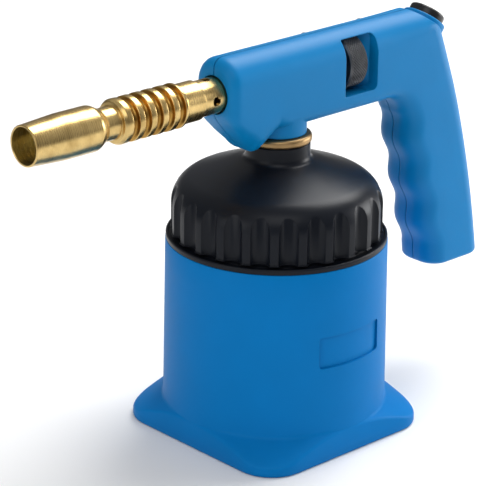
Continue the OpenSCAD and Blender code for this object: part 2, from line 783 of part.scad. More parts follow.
// The sloped chin under the nose: a beam of rounded section that leans along the chin's line and rises
// more gently behind its tip
module chin_solid(d = 0) {
    intersection() {
        across(-half_w + d, half_w - d) polygon([
            [-nose_x + d, 150], [-nose_x + d, chin_front[1] + 0.6 * d],
            [chin_foot[0] + 0.6 * d, chin_foot[1] + 0.8 * d], [-22.2 + 0.5 * d, chin_z + 0.4 + d],
            [-21.4 + 0.3 * d, chin_z + 1.1 * d], [-20.2, chin_z + 0.5 + 1.2 * d],
            [-8.5, barrel_under_z + 1 + 1.2 * d], [-8.5, 150]
        ]);
        translate([chin_foot[0], 0, chin_foot[1]]) rotate([0, 180 - chin_dir, 0])
            translate([-40, 0, 0]) rotate([90, 0, 90]) linear_extrude(90)
                translate([0, 20]) rounded_square([handle_w - 2 * d, 40 - 2 * d], chin_edge_r - 0.5 * d);
        linear_extrude(200) nose_plan(d);
    }
}

// Concave corner between the barrel's underside and the grip's front
module corner_fillet() {
    cx = grip_front_x - 0.9 - fillet_r;
    cz = barrel_under_z - fillet_r;
    groove = [grip_front_x + finger_d - 0.1, finger_first_z - 3];
    across(-half_w + 4, half_w - 4) difference() {
        polygon([[cx, barrel_under_z + 2], [cx, cz], [cx + fillet_r, cz], groove, [groove[0] + 3, groove[1]],
                 [groove[0] + 3, barrel_under_z + 2]]);
        translate([cx, cz]) circle(fillet_r);
    }
}

module handle_outside() {
    barrel_solid();
    chin_solid();
    grip_solid();
    corner_fillet();
    translate([0, 0, boss_z]) cylinder(r = boss_r, h = arch_z - boss_z);
}

module handle_cavity() {
    difference() {
        barrel_solid(shell_wall);
        partitions();
    }
    difference() {
        chin_solid(shell_wall);
        translate([-ring_r - ring_room - shell_wall, -20, 100]) cube([60, 40, barrel_under_z - 100 + shell_wall]);
    }
    grip_solid(shell_wall);
}

// Walls before and behind the regulator wheel
module partitions() {
    low = lead_way_z;
    translate([window_x1 - partition_t, -half_w, low]) cube([partition_t, handle_w, 40]);
    translate([scoop_x, -half_w, low]) cube([window_x2 + partition_t - scoop_x, handle_w, 40]);
    translate([window_x1 - partition_t, -half_w, low])
        cube([window_x2 + 2 * partition_t - window_x1, handle_w, window_z1 - low]);
}

// The opening on each side of the wheel, whose rear wall slants in deep down to clear the thumb
module wheel_window() {
    size = [window_x2 - window_x1, window_z2 - window_z1];
    intersection() {
        translate([(window_x1 + window_x2) / 2, 0, (window_z1 + window_z2) / 2]) rotate([90, 0, 0])
            linear_extrude(handle_w + 10, center = true) rounded_square(size, window_corner_r);
        linear_extrude(200) polygon([
            [window_x1 - 1, -20], [window_x2 + 1, -20], [window_x2 + 1, -scoop_start_y - 0.7],
            [scoop_x, -scoop_y], [scoop_x, scoop_y],
            [window_x2 + 1, scoop_start_y + 0.7], [window_x2 + 1, 20], [window_x1 - 1, 20]
        ]);
    }
    backward(window_x1) cylinder(r = wheel_r + 0.7, h = scoop_x - window_x1);
}

module handle_shells() {
    difference() {
        handle_outside();
        handle_cavity();
        wheel_window();
        forward(nose_x - 6) cylinder(r = tube_r + nose_hole_gap, h = 20);
        translate([0, 0, boss_z - 1]) cylinder(r = boss_bore_r, h = 12);
        translate([0, 0, neck_top_z - 10]) cylinder(r = ring_r + ring_room, h = boss_z - neck_top_z + 10);
        backward(window_x1 - partition_t - 1) cylinder(r = gland_hex_r / 2 + 0.6, h = partition_t + 2);
        on_igniter(collar_depth) cylinder(r = collar_r + 0.1, h = 20);
        on_igniter(piezo_top + piezo_len) cylinder(r = piezo_r + 0.2, h = piezo_len + 6);
    }
}

module screw_bosses(hole) {
    for (p = screw_spots) translate([p[0], 0, p[1]]) rotate([90, 0, 0])
        translate([0, 0, -half_w]) difference() {
            translate([0, 0, 1.5]) cylinder(r = screw_boss_r, h = handle_w - 3);
            translate([0, 0, -1]) cylinder(r = hole, h = handle_w + 2);
        }
}

module half(side) {
    intersection() {
        children();
        translate([-60, side < 0 ? -30 : 0, 40]) cube([220, 30, 150]);
    }
}

module screw_holes(hole, depth) {
    for (p = screw_spots) translate([p[0], half_w, p[1]]) rotate([90, 0, 0]) cylinder(r = hole, h = depth);
}

module handle_left() {
    color("dodgerblue") difference() {
        half(-1) {
            handle_shells();
            intersection() {
                screw_bosses(screw_r + fit);
                handle_outside();
            }
        }
        screw_holes(screw_r + fit, screw_len + 3);
    }
}

module handle_right() {
    color("dodgerblue") difference() {
        half(1) {
            handle_shells();
            intersection() {
                screw_bosses(screw_r + 0.2);
                handle_outside();
            }
        }
        screw_holes(screw_head_r + 0.15, screw_head_seat);
        screw_holes(screw_r + 0.2, handle_w);
    }
}

module handle_screws() {
    color("silver") for (p = screw_spots) translate([p[0], half_w - screw_head_seat, p[1]]) {
        difference() {
            rotate([-90, 0, 0]) cylinder(r = screw_head_r, h = screw_head_t);
            for (a = [0, 90]) rotate([0, a, 0]) translate([-1.5, screw_head_t - 0.9, -0.35]) cube([3, 2, 0.7]);
        }
        rotate([90, 0, 0]) cylinder(r = screw_r, h = screw_len - screw_head_seat);
    }
}

// ---------------------------------------------------------------- nodes

container();
cartridge();
cartridge_gasket();
dome_cap();
stem_washer();
lock_ring();
valve_body();
piercing_needle();
gas_filter();
spindle_o_ring();
gland_nut();
valve_spindle();
regulator_wheel();
wheel_screw();
jet_holder();
gas_jet();
burner_tube();
burner_nozzle();
flame_holder();
electrode_insulator();
ignition_electrode();
ignition_lead();
piezo_igniter();
igniter_plunger();
igniter_button();
button_collar();
handle_left();
handle_right();
handle_screws();
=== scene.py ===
import math

import bmesh
import bpy
from mathutils import Matrix, Vector


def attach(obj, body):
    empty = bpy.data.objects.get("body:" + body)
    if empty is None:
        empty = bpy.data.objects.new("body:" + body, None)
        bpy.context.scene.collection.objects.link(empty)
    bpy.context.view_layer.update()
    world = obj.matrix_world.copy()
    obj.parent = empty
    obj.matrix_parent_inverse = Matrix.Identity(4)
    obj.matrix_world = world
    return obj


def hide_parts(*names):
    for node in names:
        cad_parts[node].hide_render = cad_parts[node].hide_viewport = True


bl_info = {
    "name": "Gas Blow Torch",
    "version": (1, 0, 0),
    "blender": (4, 5, 0),
    "location": "3D View > Sidebar > Torch",
    "description": "Models a cartridge blow torch with a brass burner and a plastic pistol grip",
    "category": "Add Mesh",
}

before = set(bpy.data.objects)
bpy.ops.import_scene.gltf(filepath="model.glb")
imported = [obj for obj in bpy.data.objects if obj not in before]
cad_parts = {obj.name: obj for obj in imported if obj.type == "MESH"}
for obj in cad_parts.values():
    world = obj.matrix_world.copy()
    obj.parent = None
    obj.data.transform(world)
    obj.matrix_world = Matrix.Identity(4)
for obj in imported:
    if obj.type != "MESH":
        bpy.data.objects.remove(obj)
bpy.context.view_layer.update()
MM = 0.001
AXIS_Z = 157.0  # height of the burner's and the valve's axis
TILT = math.radians(37.0)  # lean of the igniter's axis
BUTTON_SPOT = (89.0, 166.5)  # centre of the collar's rim, X and Z


# ------------------------------------------------------------------ sizes and colours


def length(name, value, description):
    """A length property in millimetres."""
    return bpy.props.FloatProperty(name=name, default=value, min=0.0, description=description)


def colour(name, code, description):
    """A colour property from an sRGB hex value."""
    return bpy.props.FloatVectorProperty(
        name=name, subtype="COLOR", size=4, min=0.0, max=1.0, default=linear(code), description=description
    )


def linear(code):
    """Turns an sRGB hex value into a linear colour with full alpha."""
    values = [int(code[i : i + 2], 16) / 255 for i in (1, 3, 5)]
    return tuple(v / 12.92 if v <= 0.04045 else ((v + 0.055) / 1.055) ** 2.4 for v in values) + (1.0,)


class TorchSizes(bpy.types.PropertyGroup):
    """Sizes of the torch, in millimetres, which follow the frame's own"""

    cup_base_r: length("Cup base radius", 49.0, "Radius of the container at the floor")
    cup_taper: length("Cup taper", 1.0, "How much the container narrows up to its rim")
    cup_h: length("Cup height", 86.0, "Height of the container's rim")
    bore_r: length("Cup bore", 45.7, "Radius of the container's bore")
    foot_corner_r: length("Foot corner", 17.0, "Corner radius of the square foot")
    foot_h: length("Foot height", 12.3, "Height at which the foot's slope meets the cup")
    foot_slope: bpy.props.FloatProperty(
        name="Foot slope", default=0.613, min=0.0, description="Fall of the foot's top per millimetre outwards"
    )
    plate_w: length("Plate width", 34.6, "Width of the bare plate recess")
    plate_h: length("Plate height", 14.2, "Height of the bare plate recess")
    plate_z: length("Plate centre", 49.5, "Height of the recess's centre")
    plate_d: length("Plate depth", 1.0, "Depth of the recess")
    flute_count: bpy.props.IntProperty(name="Flutes", default=24, min=3, description="Flutes round the dome cap")
    flute_w: length("Flute width", 8.6, "Width of one flute")
    flute_d: length("Flute depth", 2.6, "Depth of one flute")
    half_w: length("Handle half width", 12.2, "Half of the handle's width")
    shell_wall: length("Shell wall", 2.2, "Wall of the handle's shells")
    parting_gap: length("Parting gap", 0.45, "Gap that shows between the two shells")
    finger_d: length("Finger grooves", 1.2, "Depth of the finger grooves")
    rib_r: length("Rib radius", 9.5, "Radius of the burner's cooling ribs")
    tube_r: length("Tube radius", 7.7, "Radius of the plain burner tube")
    wheel_r: length("Wheel radius", 12.1, "Radius of the knurled wheel")
    knurl_d: length("Knurl depth", 0.45, "Depth of the wheel's diamond knurling")


class TorchColours(bpy.types.PropertyGroup):
    """Colours of the torch's finishes"""

    cup: colour("Container", "#0073b9", "Moulded plastic of the container")
    handle: colour("Handle", "#007ab8", "Moulded plastic of the handle's shells")
    # The faint blue in the dome cap's near-black is a painted reflection.
    cap: colour("Dome cap", "#0f131b", "Moulded plastic of the dome cap")
    button: colour("Button", "#1c1c1e", "Moulded plastic of the igniter's button")
    brass: colour("Brass", "#d6b87a", "Polished brass of the burner")
    # The inner brass is paler than the brass outside: painted light on the nozzle's shaded inside.
    brass_inside_lit: colour("Inner brass, painted light", "#fff0b8", "Brass inside the nozzle, paler as painted light")
    wheel: colour("Wheel", "#6b6d70", "Burnished metal of the knurled wheel")
    steel: colour("Steel", "#b4b4b6", "Bright steel of screws and spindle")
    backdrop: colour("Backdrop", "#f4f4f4", "Floor and background")


def sizes():
    """The sizes that this scene holds."""
    return bpy.context.scene.torch_sizes


def colours():
    """The colours that this scene holds."""
    return bpy.context.scene.torch_colours


# ------------------------------------------------------------------ modelling helpers


def deselect():
    """Leaves edit mode and selects nothing."""
    if bpy.context.object and bpy.context.object.mode != "OBJECT":
        bpy.ops.object.mode_set(mode="OBJECT")
    bpy.ops.object.select_all(action="DESELECT")


def choose(piece):
    """Makes a piece the only selected one."""
    deselect()
    piece.select_set(True)
    bpy.context.view_layer.objects.active = piece


def arc(cx, cy, r, a1, a2, steps):
    """Points on an arc from angle a1 to a2, in degrees."""
    return [
        (cx + r * math.cos(math.radians(a)), cy + r * math.sin(math.radians(a)))
        for a in (a1 + (a2 - a1) * i / steps for i in range(steps + 1))
    ]


def soften(corners):
    """Rounds an outline: each corner is (x, y) or (x, y, radius)."""
    points = []
    for i, corner in enumerate(corners):
        here = Vector(corner[:2])
        radius = corner[2] if len(corner) > 2 else 0
        if not radius or i in (0, len(corners) - 1):
            points.append(tuple(here))
            continue
        back = (Vector(corners[i - 1][:2]) - here).normalized()
        ahead = (Vector(corners[i + 1][:2]) - here).normalized()
        half = back.angle(ahead) / 2
        reach = radius / math.tan(half)
        centre = here + (back + ahead).normalized() * (radius / math.sin(half))
        start, end = here + back * reach - centre, here + ahead * reach - centre
        turn = start.angle_signed(end)
        steps = max(2, round(abs(math.degrees(turn)) / 15))
        for k in range(steps + 1):
            a = -turn * k / steps
            points.append(
                (
                    centre.x + start.x * math.cos(a) - start.y * math.sin(a),
                    centre.y + start.x * math.sin(a) + start.y * math.cos(a),
                )
            )
    return points


def rounded_rect(width, height, r, steps=5):
    """Outline of a rectangle with rounded corners, centred on the origin."""
    points = []
    for sx, sy, a in ((1, 1, 0), (-1, 1, 90), (-1, -1, 180), (1, -1, 270)):
        points += arc(sx * (width / 2 - r), sy * (height / 2 - r), r, a, a + 90, steps)
    return points


def turned(name, outline, steps=128):
    """Turns a closed outline of (radius, height) points round +Z, ring by ring, as on a lathe."""
    deselect()
    r, z = outline[0]
    bpy.ops.mesh.primitive_circle_add(vertices=steps, radius=r * MM, location=(0, 0, 0))
    piece = bpy.context.object
    piece.name = piece.data.name = name
    bpy.ops.object.mode_set(mode="EDIT")
    bpy.ops.mesh.select_all(action="SELECT")
    bpy.ops.transform.translate(value=(0, 0, z * MM))
    for r2, z2 in outline[1:] + outline[:1]:
        bpy.ops.mesh.extrude_edges_move(TRANSFORM_OT_translate={"value": (0, 0, (z2 - z) * MM)})
        bpy.ops.transform.resize(value=(r2 / r, r2 / r, 1), center_override=(0, 0, z2 * MM))
        r, z = r2, z2
    bpy.ops.mesh.select_all(action="SELECT")
    bpy.ops.mesh.remove_doubles(threshold=2e-6)
    bpy.ops.mesh.normals_make_consistent(inside=False)
    bpy.ops.object.mode_set(mode="OBJECT")
    return piece


def skin(name, rings):
    """Joins rings of points, in millimetres, into a closed skin with flat ends."""
    deselect()
    mesh = bpy.data.meshes.new(name)
    shape = bmesh.new()
    rows = [[shape.verts.new(Vector(p) * MM) for p in ring] for ring in rings]
    count = len(rings[0])
    for low, high in zip(rows, rows[1:]):
        for i in range(count):
            j = (i + 1) % count
            shape.faces.new((low[i], low[j], high[j], high[i]))
    shape.faces.new(list(reversed(rows[0])))
    shape.faces.new(rows[-1])
    bmesh.ops.recalc_face_normals(shape, faces=shape.faces)
    shape.to_mesh(mesh)
    shape.free()
    piece = bpy.data.objects.new(name, mesh)
    bpy.context.scene.collection.objects.link(piece)
    choose(piece)
    return piece


def prism(name, outline, low, high, axis="Z"):
    """A straight prism over an outline in millimetres, standing along Z or lying along Y."""
    place = (lambda p, h: (p[0], p[1], h)) if axis == "Z" else (lambda p, h: (p[0], h, p[1]))
    return skin(name, [[place(p, low) for p in outline], [place(p, high) for p in outline]])


def move(piece, matrix):
    """Places a piece and puts the place into its mesh."""
    choose(piece)
    piece.matrix_world = matrix @ piece.matrix_world
    bpy.ops.object.transform_apply(location=True, rotation=True, scale=True)
    return piece


def box(low, high):
    """A block between two corners, in millimetres."""
    deselect()
    centre = [(a + b) / 2 * MM for a, b in zip(low, high)]
    bpy.ops.mesh.primitive_cube_add(size=1, location=centre)
    block = bpy.context.object
    block.scale = [(b - a) * MM for a, b in zip(low, high)]
    bpy.ops.object.transform_apply(location=True, rotation=True, scale=True)
    return block


def rod(radius, start, end, steps=64):
    """A round bar between two points, in millimetres."""
    deselect()
    a, b = Vector(start) * MM, Vector(end) * MM
    bpy.ops.mesh.primitive_cylinder_add(vertices=steps, radius=radius * MM, depth=(b - a).length)
    bar = bpy.context.object
    turn = (b - a).to_track_quat("Z", "Y").to_matrix().to_4x4()
    return move(bar, Matrix.Translation((a + b) / 2) @ turn)


def combine(piece, other, operation):
    """Cuts, joins or intersects a piece with another, which is then removed."""
    choose(piece)
    boolean = piece.modifiers.new("combine", "BOOLEAN")
    boolean.operation = operation
    boolean.solver = "MANIFOLD"
    boolean.object = other
    bpy.ops.object.modifier_apply(modifier=boolean.name)
    bpy.data.objects.remove(other)
    return piece


def copy_of(piece, name):
    """A copy of a piece, with its own mesh."""
    twin = piece.copy()
    twin.data = piece.data.copy()
    twin.name = twin.data.name = name
    bpy.context.scene.collection.objects.link(twin)
    return twin


def hand_over(piece, body, material, nodes=(), angle=32):
    """Smooths a finished piece, gives it its material and ties it to its body and CAD nodes."""
    choose(piece)
    bpy.ops.object.shade_smooth_by_angle(angle=math.radians(angle))
    piece.data.materials.clear()
    piece.data.materials.append(material)
    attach(piece, body)
    if nodes:
        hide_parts(*nodes)
    deselect()
    return piece


def burner_place():
    """Turns a piece made along +Z so that it runs along -X on the burner's axis."""
    return Matrix.Translation((0, 0, AXIS_Z * MM)) @ Matrix.Rotation(math.radians(-90), 4, "Y")


def igniter_place():
    """Turns a piece made along +Z so that it stands on the igniter's axis."""
    spot = Vector((BUTTON_SPOT[0], 0, BUTTON_SPOT[1])) * MM
    return Matrix.Translation(spot) @ Matrix.Rotation(TILT, 4, "Y")


# ------------------------------------------------------------------ materials


def add_node(tree, kind, inputs=None, **settings):
    """Adds a node with its settings, and links or sets its inputs."""
    node = tree.nodes.new("ShaderNode" + kind)
    for name, value in settings.items():
        setattr(node, name, value)
    for name, value in (inputs or {}).items():
        if isinstance(value, bpy.types.NodeSocket):
            tree.links.new(value, node.inputs[name])
        else:
            node.inputs[name].default_value = value
    return node


def start_material(name):
    """A new material with an empty tree, or the one of that name with no tree when it is made already."""
    if name in bpy.data.materials:
        return bpy.data.materials[name], None
    material = bpy.data.materials.new(name)
    material.use_nodes = True
    material.node_tree.nodes.clear()
    return material, material.node_tree


def mixed(tree, factor, low, high):
    """A colour between two, by a factor."""
    return add_node(tree, "Mix", {0: factor, 6: low, 7: high}, data_type="RGBA").outputs[2]


def ranged(tree, value, low, high):
    """A value from 0 to 1 spread over another range."""
    return add_node(tree, "MapRange", {"Value": value, "To Min": low, "To Max": high}).outputs["Result"]


FLOW_SIZE = 18 * MM  # mottling that the melt leaves as it flows
TARNISH_SIZE = 7 * MM  # patches that handling leaves on metal
BEVEL_SAMPLES = 4


def moulded_plastic(name, tone, roughness, grain=0.35, edge=0.4, depth=0.012, spread=0.06, gloss=0.16):
    """Injection-moulded polypropylene, nylon or ABS: a fine mould grain, faint flow mottling and soft edges.
    grain is the mould texture's size and edge the rounding of sharp edges, both in millimetres; gloss is
    the strength of its mirror, under 0.5 because the mould grain scatters it."""
    material, tree = start_material(name)
    if tree is None:
        return material
    place = add_node(tree, "TexCoord").outputs["Object"]
    flow = add_node(tree, "TexNoise", {"Vector": place, "Scale": 1 / FLOW_SIZE, "Detail": 3.0}).outputs["Fac"]
    fine = add_node(tree, "TexNoise", {"Vector": place, "Scale": 1 / (grain * MM), "Detail": 2.0}).outputs["Fac"]
    darker = tuple(c * (1 - spread) for c in tone[:3]) + (1.0,)
    lighter = tuple(min(1, c * (1 + spread)) for c in tone[:3]) + (1.0,)
    rounded = add_node(tree, "Bevel", {"Radius": edge * MM}, samples=BEVEL_SAMPLES).outputs["Normal"]
    bump = add_node(tree, "Bump", {"Height": fine, "Distance": depth * MM, "Strength": 0.5, "Normal": rounded})
    shader = add_node(
        tree,
        "BsdfPrincipled",
        {
            "Base Color": mixed(tree, flow, darker, lighter),
            "Roughness": ranged(tree, flow, roughness - 0.04, roughness + 0.04),
            "Normal": bump.outputs["Normal"],
            "Specular IOR Level": gloss,
        },
    )
    add_node(tree, "OutputMaterial", {"Surface": shader.outputs["BSDF"]})
    return material


def turned_metal(name, tone, stain, roughness, axis="X", pitch=0.22, depth=0.004, amount=0.35, edge=0.25):
    """Brass or steel turned on a lathe and polished: fine rings round the axis and a faint, uneven tarnish.
    pitch is the tool's feed in millimetres, drawn a little coarser than it is so that it shows."""
    material, tree = start_material(name)
    if tree is None:
        return material
    place = add_node(tree, "TexCoord").outputs["Object"]
    parts = add_node(tree, "SeparateXYZ", {"Vector": place})
    turns = add_node(tree, "Math", {0: parts.outputs[axis], 1: 1 / (pitch * MM)}, operation="MULTIPLY").outputs[0]
    rings = add_node(
        tree, "TexNoise", {"W": turns, "Scale": 1.0, "Detail": 2.0}, noise_dimensions="1D"
    ).outputs["Fac"]
    cloud = add_node(tree, "TexNoise", {"Vector": place, "Scale": 1 / TARNISH_SIZE, "Detail": 4.0}).outputs["Fac"]
    patch = add_node(tree, "MapRange", {"Value": cloud, "From Min": 0.42, "From Max": 0.75, "To Max": amount})
    rounded = add_node(tree, "Bevel", {"Radius": edge * MM}, samples=BEVEL_SAMPLES).outputs["Normal"]
    bump = add_node(tree, "Bump", {"Height": rings, "Distance": depth * MM, "Strength": 0.6, "Normal": rounded})
    shader = add_node(
        tree,
        "BsdfPrincipled",
        {
            "Base Color": mixed(tree, patch.outputs["Result"], tone, stain),
            "Metallic": 1.0,
            "Roughness": ranged(tree, rings, roughness - 0.05, roughness + 0.08),
            "Normal": bump.outputs["Normal"],
        },
    )
    add_node(tree, "OutputMaterial", {"Surface": shader.outputs["BSDF"]})
    return material


def soft_surface(name, tone, roughness, grain, depth, edge=0.2):
    """Rubber, felt, fibre, inner plastics and glazed ceramic: one tone with a grain of its own size."""
    return moulded_plastic(name, tone, roughness, grain=grain, edge=edge, depth=depth, spread=0.12)


def handle_plastic():
    # Satin polypropylene: broad soft highlights and a barely visible mould grain.
    return moulded_plastic("moulded polypropylene, handle", tuple(colours().handle), 0.42, edge=0.6)


def cup_plastic():
    # The cup comes out of a finer, slightly duller mould than the handle.
    return moulded_plastic("moulded polypropylene, container", tuple(colours().cup), 0.46, edge=0.25, gloss=0.07)


def polished_brass(axis="X"):
    # Turned and buffed brass: sharp warm reflections, broken by the last fine tool rings.
    return turned_metal(
        "turned brass along " + axis, tuple(colours().brass), linear("#8f7038"), 0.25, axis=axis, amount=0.6
    )


def lit_inner_brass():
    # The same brass inside the nozzle, made paler: painted light on the shaded inside; streaky reflections, coarser
    # tool rings.
    return turned_metal(
        "brass inside nozzle, painted light", tuple(colours().brass_inside_lit), linear("#e8c67a"), 0.24, pitch=0.4, amount=0.7
    )


def groove_shade_brass():
    # The bottoms of the cooling grooves, painted darker: painted shade in the grooves.
    return turned_metal("brass, painted shade in grooves", linear("#b58c46"), linear("#744f1e"), 0.3, amount=0.8)


def dull_dark_brass():
    # Turned brass, darker and rougher than the burner's, no longer a mirror.
    return turned_metal("dull dark brass", linear("#a88a60"), linear("#7c6342"), 0.4, axis="Z", amount=0.6)


def bright_steel(axis="X"):
    # Zinc-plated steel: a cooler and duller mirror than the brass.
    return turned_metal("turned steel along " + axis, tuple(colours().steel), linear("#7c7d80"), 0.28, axis=axis)


# ------------------------------------------------------------------ container


FOOT_LOWER_EDGE = ((0.9, 0.0), (0.3, 0.25), (0.0, 0.9))  # inset and height of the rounding under the foot
FOOT_EDGE_R = 1.1  # rounding of the foot's upper edge
FOOT_FILLET = 1.2  # reach of the fillet between the foot's slope and the cup
WALL_LEVELS = (30, 45, 60, 75)  # rings on the plain wall, which keep its faces short
RIM_ROUNDING = 0.6
CUP_FLOOR_Z = 3.0  # where the cartridge stands
PLATE_CORNER_R = 1.6
PLATE_CUTTER = (-60, -30)  # reach of the recess's cutter along Y


def foot_radius(angle, inset=0.0):
    """Distance from the axis to the rounded square's edge in a direction."""
    s = sizes()
    side, corner = s.cup_base_r - inset, s.foot_corner_r - inset
    c, d = abs(math.cos(angle)), abs(math.sin(angle))
    centre = side - corner
    straight = side / max(c, d)
    if straight * min(c, d) <= centre:
        return straight
    along = centre * (c + d)
    return along + math.sqrt(along * along - 2 * centre * centre + corner * corner)


def cup_rings(steps=192):
    """Rings of the container, from under the foot up to the rim and down inside the bore."""
    s = sizes()
    wall = lambda z: s.cup_base_r - s.cup_taper * z / s.cup_h
    slope = lambda r: s.foot_h - max(0, r - s.cup_base_r) * s.foot_slope
    fillet_r, fillet_z = s.cup_base_r + FOOT_FILLET, s.foot_h + FOOT_FILLET
    rim = wall(s.cup_h)
    angles = [2 * math.pi * i / steps for i in range(steps)]
    columns = []
    for angle in angles:
        edge = foot_radius(angle)
        top = slope(edge)
        column = [(foot_radius(angle, inset), z) for inset, z in FOOT_LOWER_EDGE]
        column += [(edge, top * 0.5), (edge, top - FOOT_EDGE_R)]
        for turn in (22.5, 45, 67.5, 90):
            bend = math.radians(turn)
            r = max(edge - FOOT_EDGE_R * (1 - math.cos(bend)), wall(top))
            column.append((r, slope(r) - FOOT_EDGE_R * (1 - math.sin(bend))))
        crest = column[-1][0]
        start = min(fillet_r, crest)
        for t in (0.33, 0.66, 1.0):
            r = crest + (start - crest) * t
            column.append((r, slope(r)))
        begin, knee, end = (start, slope(start)), (wall(s.foot_h), s.foot_h), (wall(fillet_z), fillet_z)
        for t in (0.2, 0.4, 0.6, 0.8, 1.0):
            column.append(
                tuple((1 - t) ** 2 * b + 2 * t * (1 - t) * k + t * t * e for b, k, e in zip(begin, knee, end))
            )
        column += [(wall(z), z) for z in WALL_LEVELS + (s.cup_h - RIM_ROUNDING,)]
        column += [(rim - 0.18, s.cup_h - 0.15), (rim - RIM_ROUNDING, s.cup_h)]
        column += [(s.bore_r + 0.4, s.cup_h), (s.bore_r, s.cup_h - 0.5)]
        column += [(s.bore_r, 30), (s.bore_r, CUP_FLOOR_Z + 0.5), (s.bore_r - 0.5, CUP_FLOOR_Z)]
        columns.append(column)
    return [[(r * math.cos(a), r * math.sin(a), z) for a, (r, z) in zip(angles, level)] for level in zip(*columns)]


class TORCH_OT_container(bpy.types.Operator):
    """Models the container: a tapered cup on a rounded square foot, with a bare plate recess"""

    bl_idname = "torch.container"
    bl_label = "Container"

    def execute(self, context):
        s = sizes()
        cup = skin("container_shell", cup_rings())
        plate = rounded_rect(s.plate_w, s.plate_h, PLATE_CORNER_R)
        cutter = prism("plate", [(x, z + s.plate_z) for x, z in plate], *PLATE_CUTTER, axis="Y")
        floor_r = s.cup_base_r - s.cup_taper * s.plate_z / s.cup_h - s.plate_d
        combine(cutter, rod(floor_r, (0, 0, 0), (0, 0, s.cup_h), steps=192), "DIFFERENCE")
        combine(cup, cutter, "DIFFERENCE")
        hand_over(cup, "container", cup_plastic(), ["container"])
        return {"FINISHED"}


# ------------------------------------------------------------------ dome cap and lock ring


CAP_R = 45.5  # radius of the skirt between its flutes
CAP_WALL = 1.6  # wall behind a flute
SPIGOT_R = 45.4  # the part that goes down into the container
SEAT_Z = 86.05  # underside of the flange, on the container's rim
SLOT_R, SLOT_FLOOR_Z = 46.6, 87.2  # outer wall and floor of the slot between the flange and the skirt
LIP_OUT, LIP_TOP_Z = 0.4, 89.4  # the lip that follows the flutes under the skirt
SHOULDER_R, SHOULDER_Z = 13.0, 101.5
NECK_R, NECK_TOP_Z = 13.9, 129.28
NECK_FILLET, NECK_FILLET_Z = 3.0, 124.0  # radius and centre's height
STEM_BORE_R = 9.05
CAP_FLOOR_Z = 118.0  # underside of the dome's crown


class TORCH_OT_dome_cap(bpy.types.Operator):
    """Models the dome cap: a turned dome with a flange and a lip, whose skirt is cut by arched flutes"""

    bl_idname = "torch.dome_cap"
    bl_label = "Dome cap"

    def execute(self, context):
        s = sizes()
        flute_floor = CAP_R - s.flute_d
        bore = flute_floor - CAP_WALL
        flange_r, flange_top_z = SLOT_R + 1.2, SEAT_Z + 2.25
        outline = [(SPIGOT_R, 77.0), (SPIGOT_R, SEAT_Z), (SLOT_R, SEAT_Z)]
        outline += soften(
            [(SLOT_R, SEAT_Z), (flange_r, SEAT_Z, 0.3), (flange_r, flange_top_z, 0.5)]
            + [(SLOT_R, flange_top_z, 0.25), (SLOT_R, SLOT_FLOOR_Z)]
        )[1:]
        outline += [(flute_floor - 0.4, SLOT_FLOOR_Z), (flute_floor - 0.4, 88.9), (CAP_R + 0.3, 88.9)]
        outline += [(45.95, 89.05), (45.95, 89.3), (45.85, LIP_TOP_Z)]
        outline += [(CAP_R, LIP_TOP_Z), (CAP_R, 94.0), (CAP_R, 98.0)]
        outline += arc(CAP_R - SHOULDER_R, SHOULDER_Z, SHOULDER_R, 0, 70, 18)
        outline += [(33.5, 114.97), (30.0, 116.25), (26.0, 117.7), (22.0, 119.16), (19.0, 120.25)]
        outline += arc(NECK_R + NECK_FILLET, NECK_FILLET_Z, NECK_FILLET, 250, 180, 7)
        outline += [(NECK_R, 126.5), (NECK_R, 128.9), (13.5, NECK_TOP_Z), (STEM_BORE_R, NECK_TOP_Z)]
        outline += [(STEM_BORE_R, CAP_FLOOR_Z), (16.0, CAP_FLOOR_Z), (33.0, 112.0)]
        outline += [(bore - 1.9, 106.5), (bore, SHOULDER_Z), (bore, 87.0), (42.9, 77.0)]
        cap = turned("dome_cap_shell", outline, steps=288)
        radius = ((s.flute_w / 2) ** 2 + s.flute_d**2) / (2 * s.flute_d)
        centre = CAP_R - s.flute_d + radius
        # Each flute runs straight up out of the shoulder; a shorter, slimmer cut makes the lip follow the flutes.
        lip = radius - LIP_OUT
        profile = [(0.02, 88.7), (lip, 88.7), (lip, LIP_TOP_Z), (radius, LIP_TOP_Z), (radius, 116), (0.02, 116)]
        first = turned("flute", profile, steps=96)
        for i in range(s.flute_count):
            turn = Matrix.Rotation((i + 0.5) * 2 * math.pi / s.flute_count, 4, "Z")
            flute = copy_of(first, "flute")
            flute.data.transform(turn @ Matrix.Translation((centre * MM, 0, 0)))
            combine(cap, flute, "DIFFERENCE")
        bpy.data.objects.remove(first)
        # Nylon out of a coarser mould: nearly black, with a low sheen; the faint blue in its colour is a painted
        # reflection of the blue parts round it.
        plastic = moulded_plastic(
            "moulded nylon, dome cap",
            tuple(colours().cap),
            0.34,
            grain=0.5,
            edge=0.6,
            depth=0.015,
            spread=0.1,
            gloss=0.17,
        )
        hand_over(cap, "head", plastic, ["dome_cap"], angle=40)
        return {"FINISHED"}


RING_R, RING_BORE_R = 14.5, 9.1
RING_LOW_Z, RING_TOP_Z = 129.35, 133.05


class TORCH_OT_lock_ring(bpy.types.Operator):
    """Models the brass lock ring on the dome's neck, with rounded rims"""

    bl_idname = "torch.lock_ring"
    bl_label = "Lock ring"

    def execute(self, context):
        outline = soften(
            [(RING_BORE_R, 131), (RING_BORE_R, RING_LOW_Z), (RING_R, RING_LOW_Z, 1.2)]
            + [(RING_R, RING_TOP_Z, 1.5), (12.4, RING_TOP_Z, 0.3), (RING_BORE_R, 132.9)]
        )
        ring = turned("lock_ring_body", outline, steps=128)
        hand_over(ring, "head", dull_dark_brass(), ["lock_ring"])
        return {"FINISHED"}


# ------------------------------------------------------------------ burner


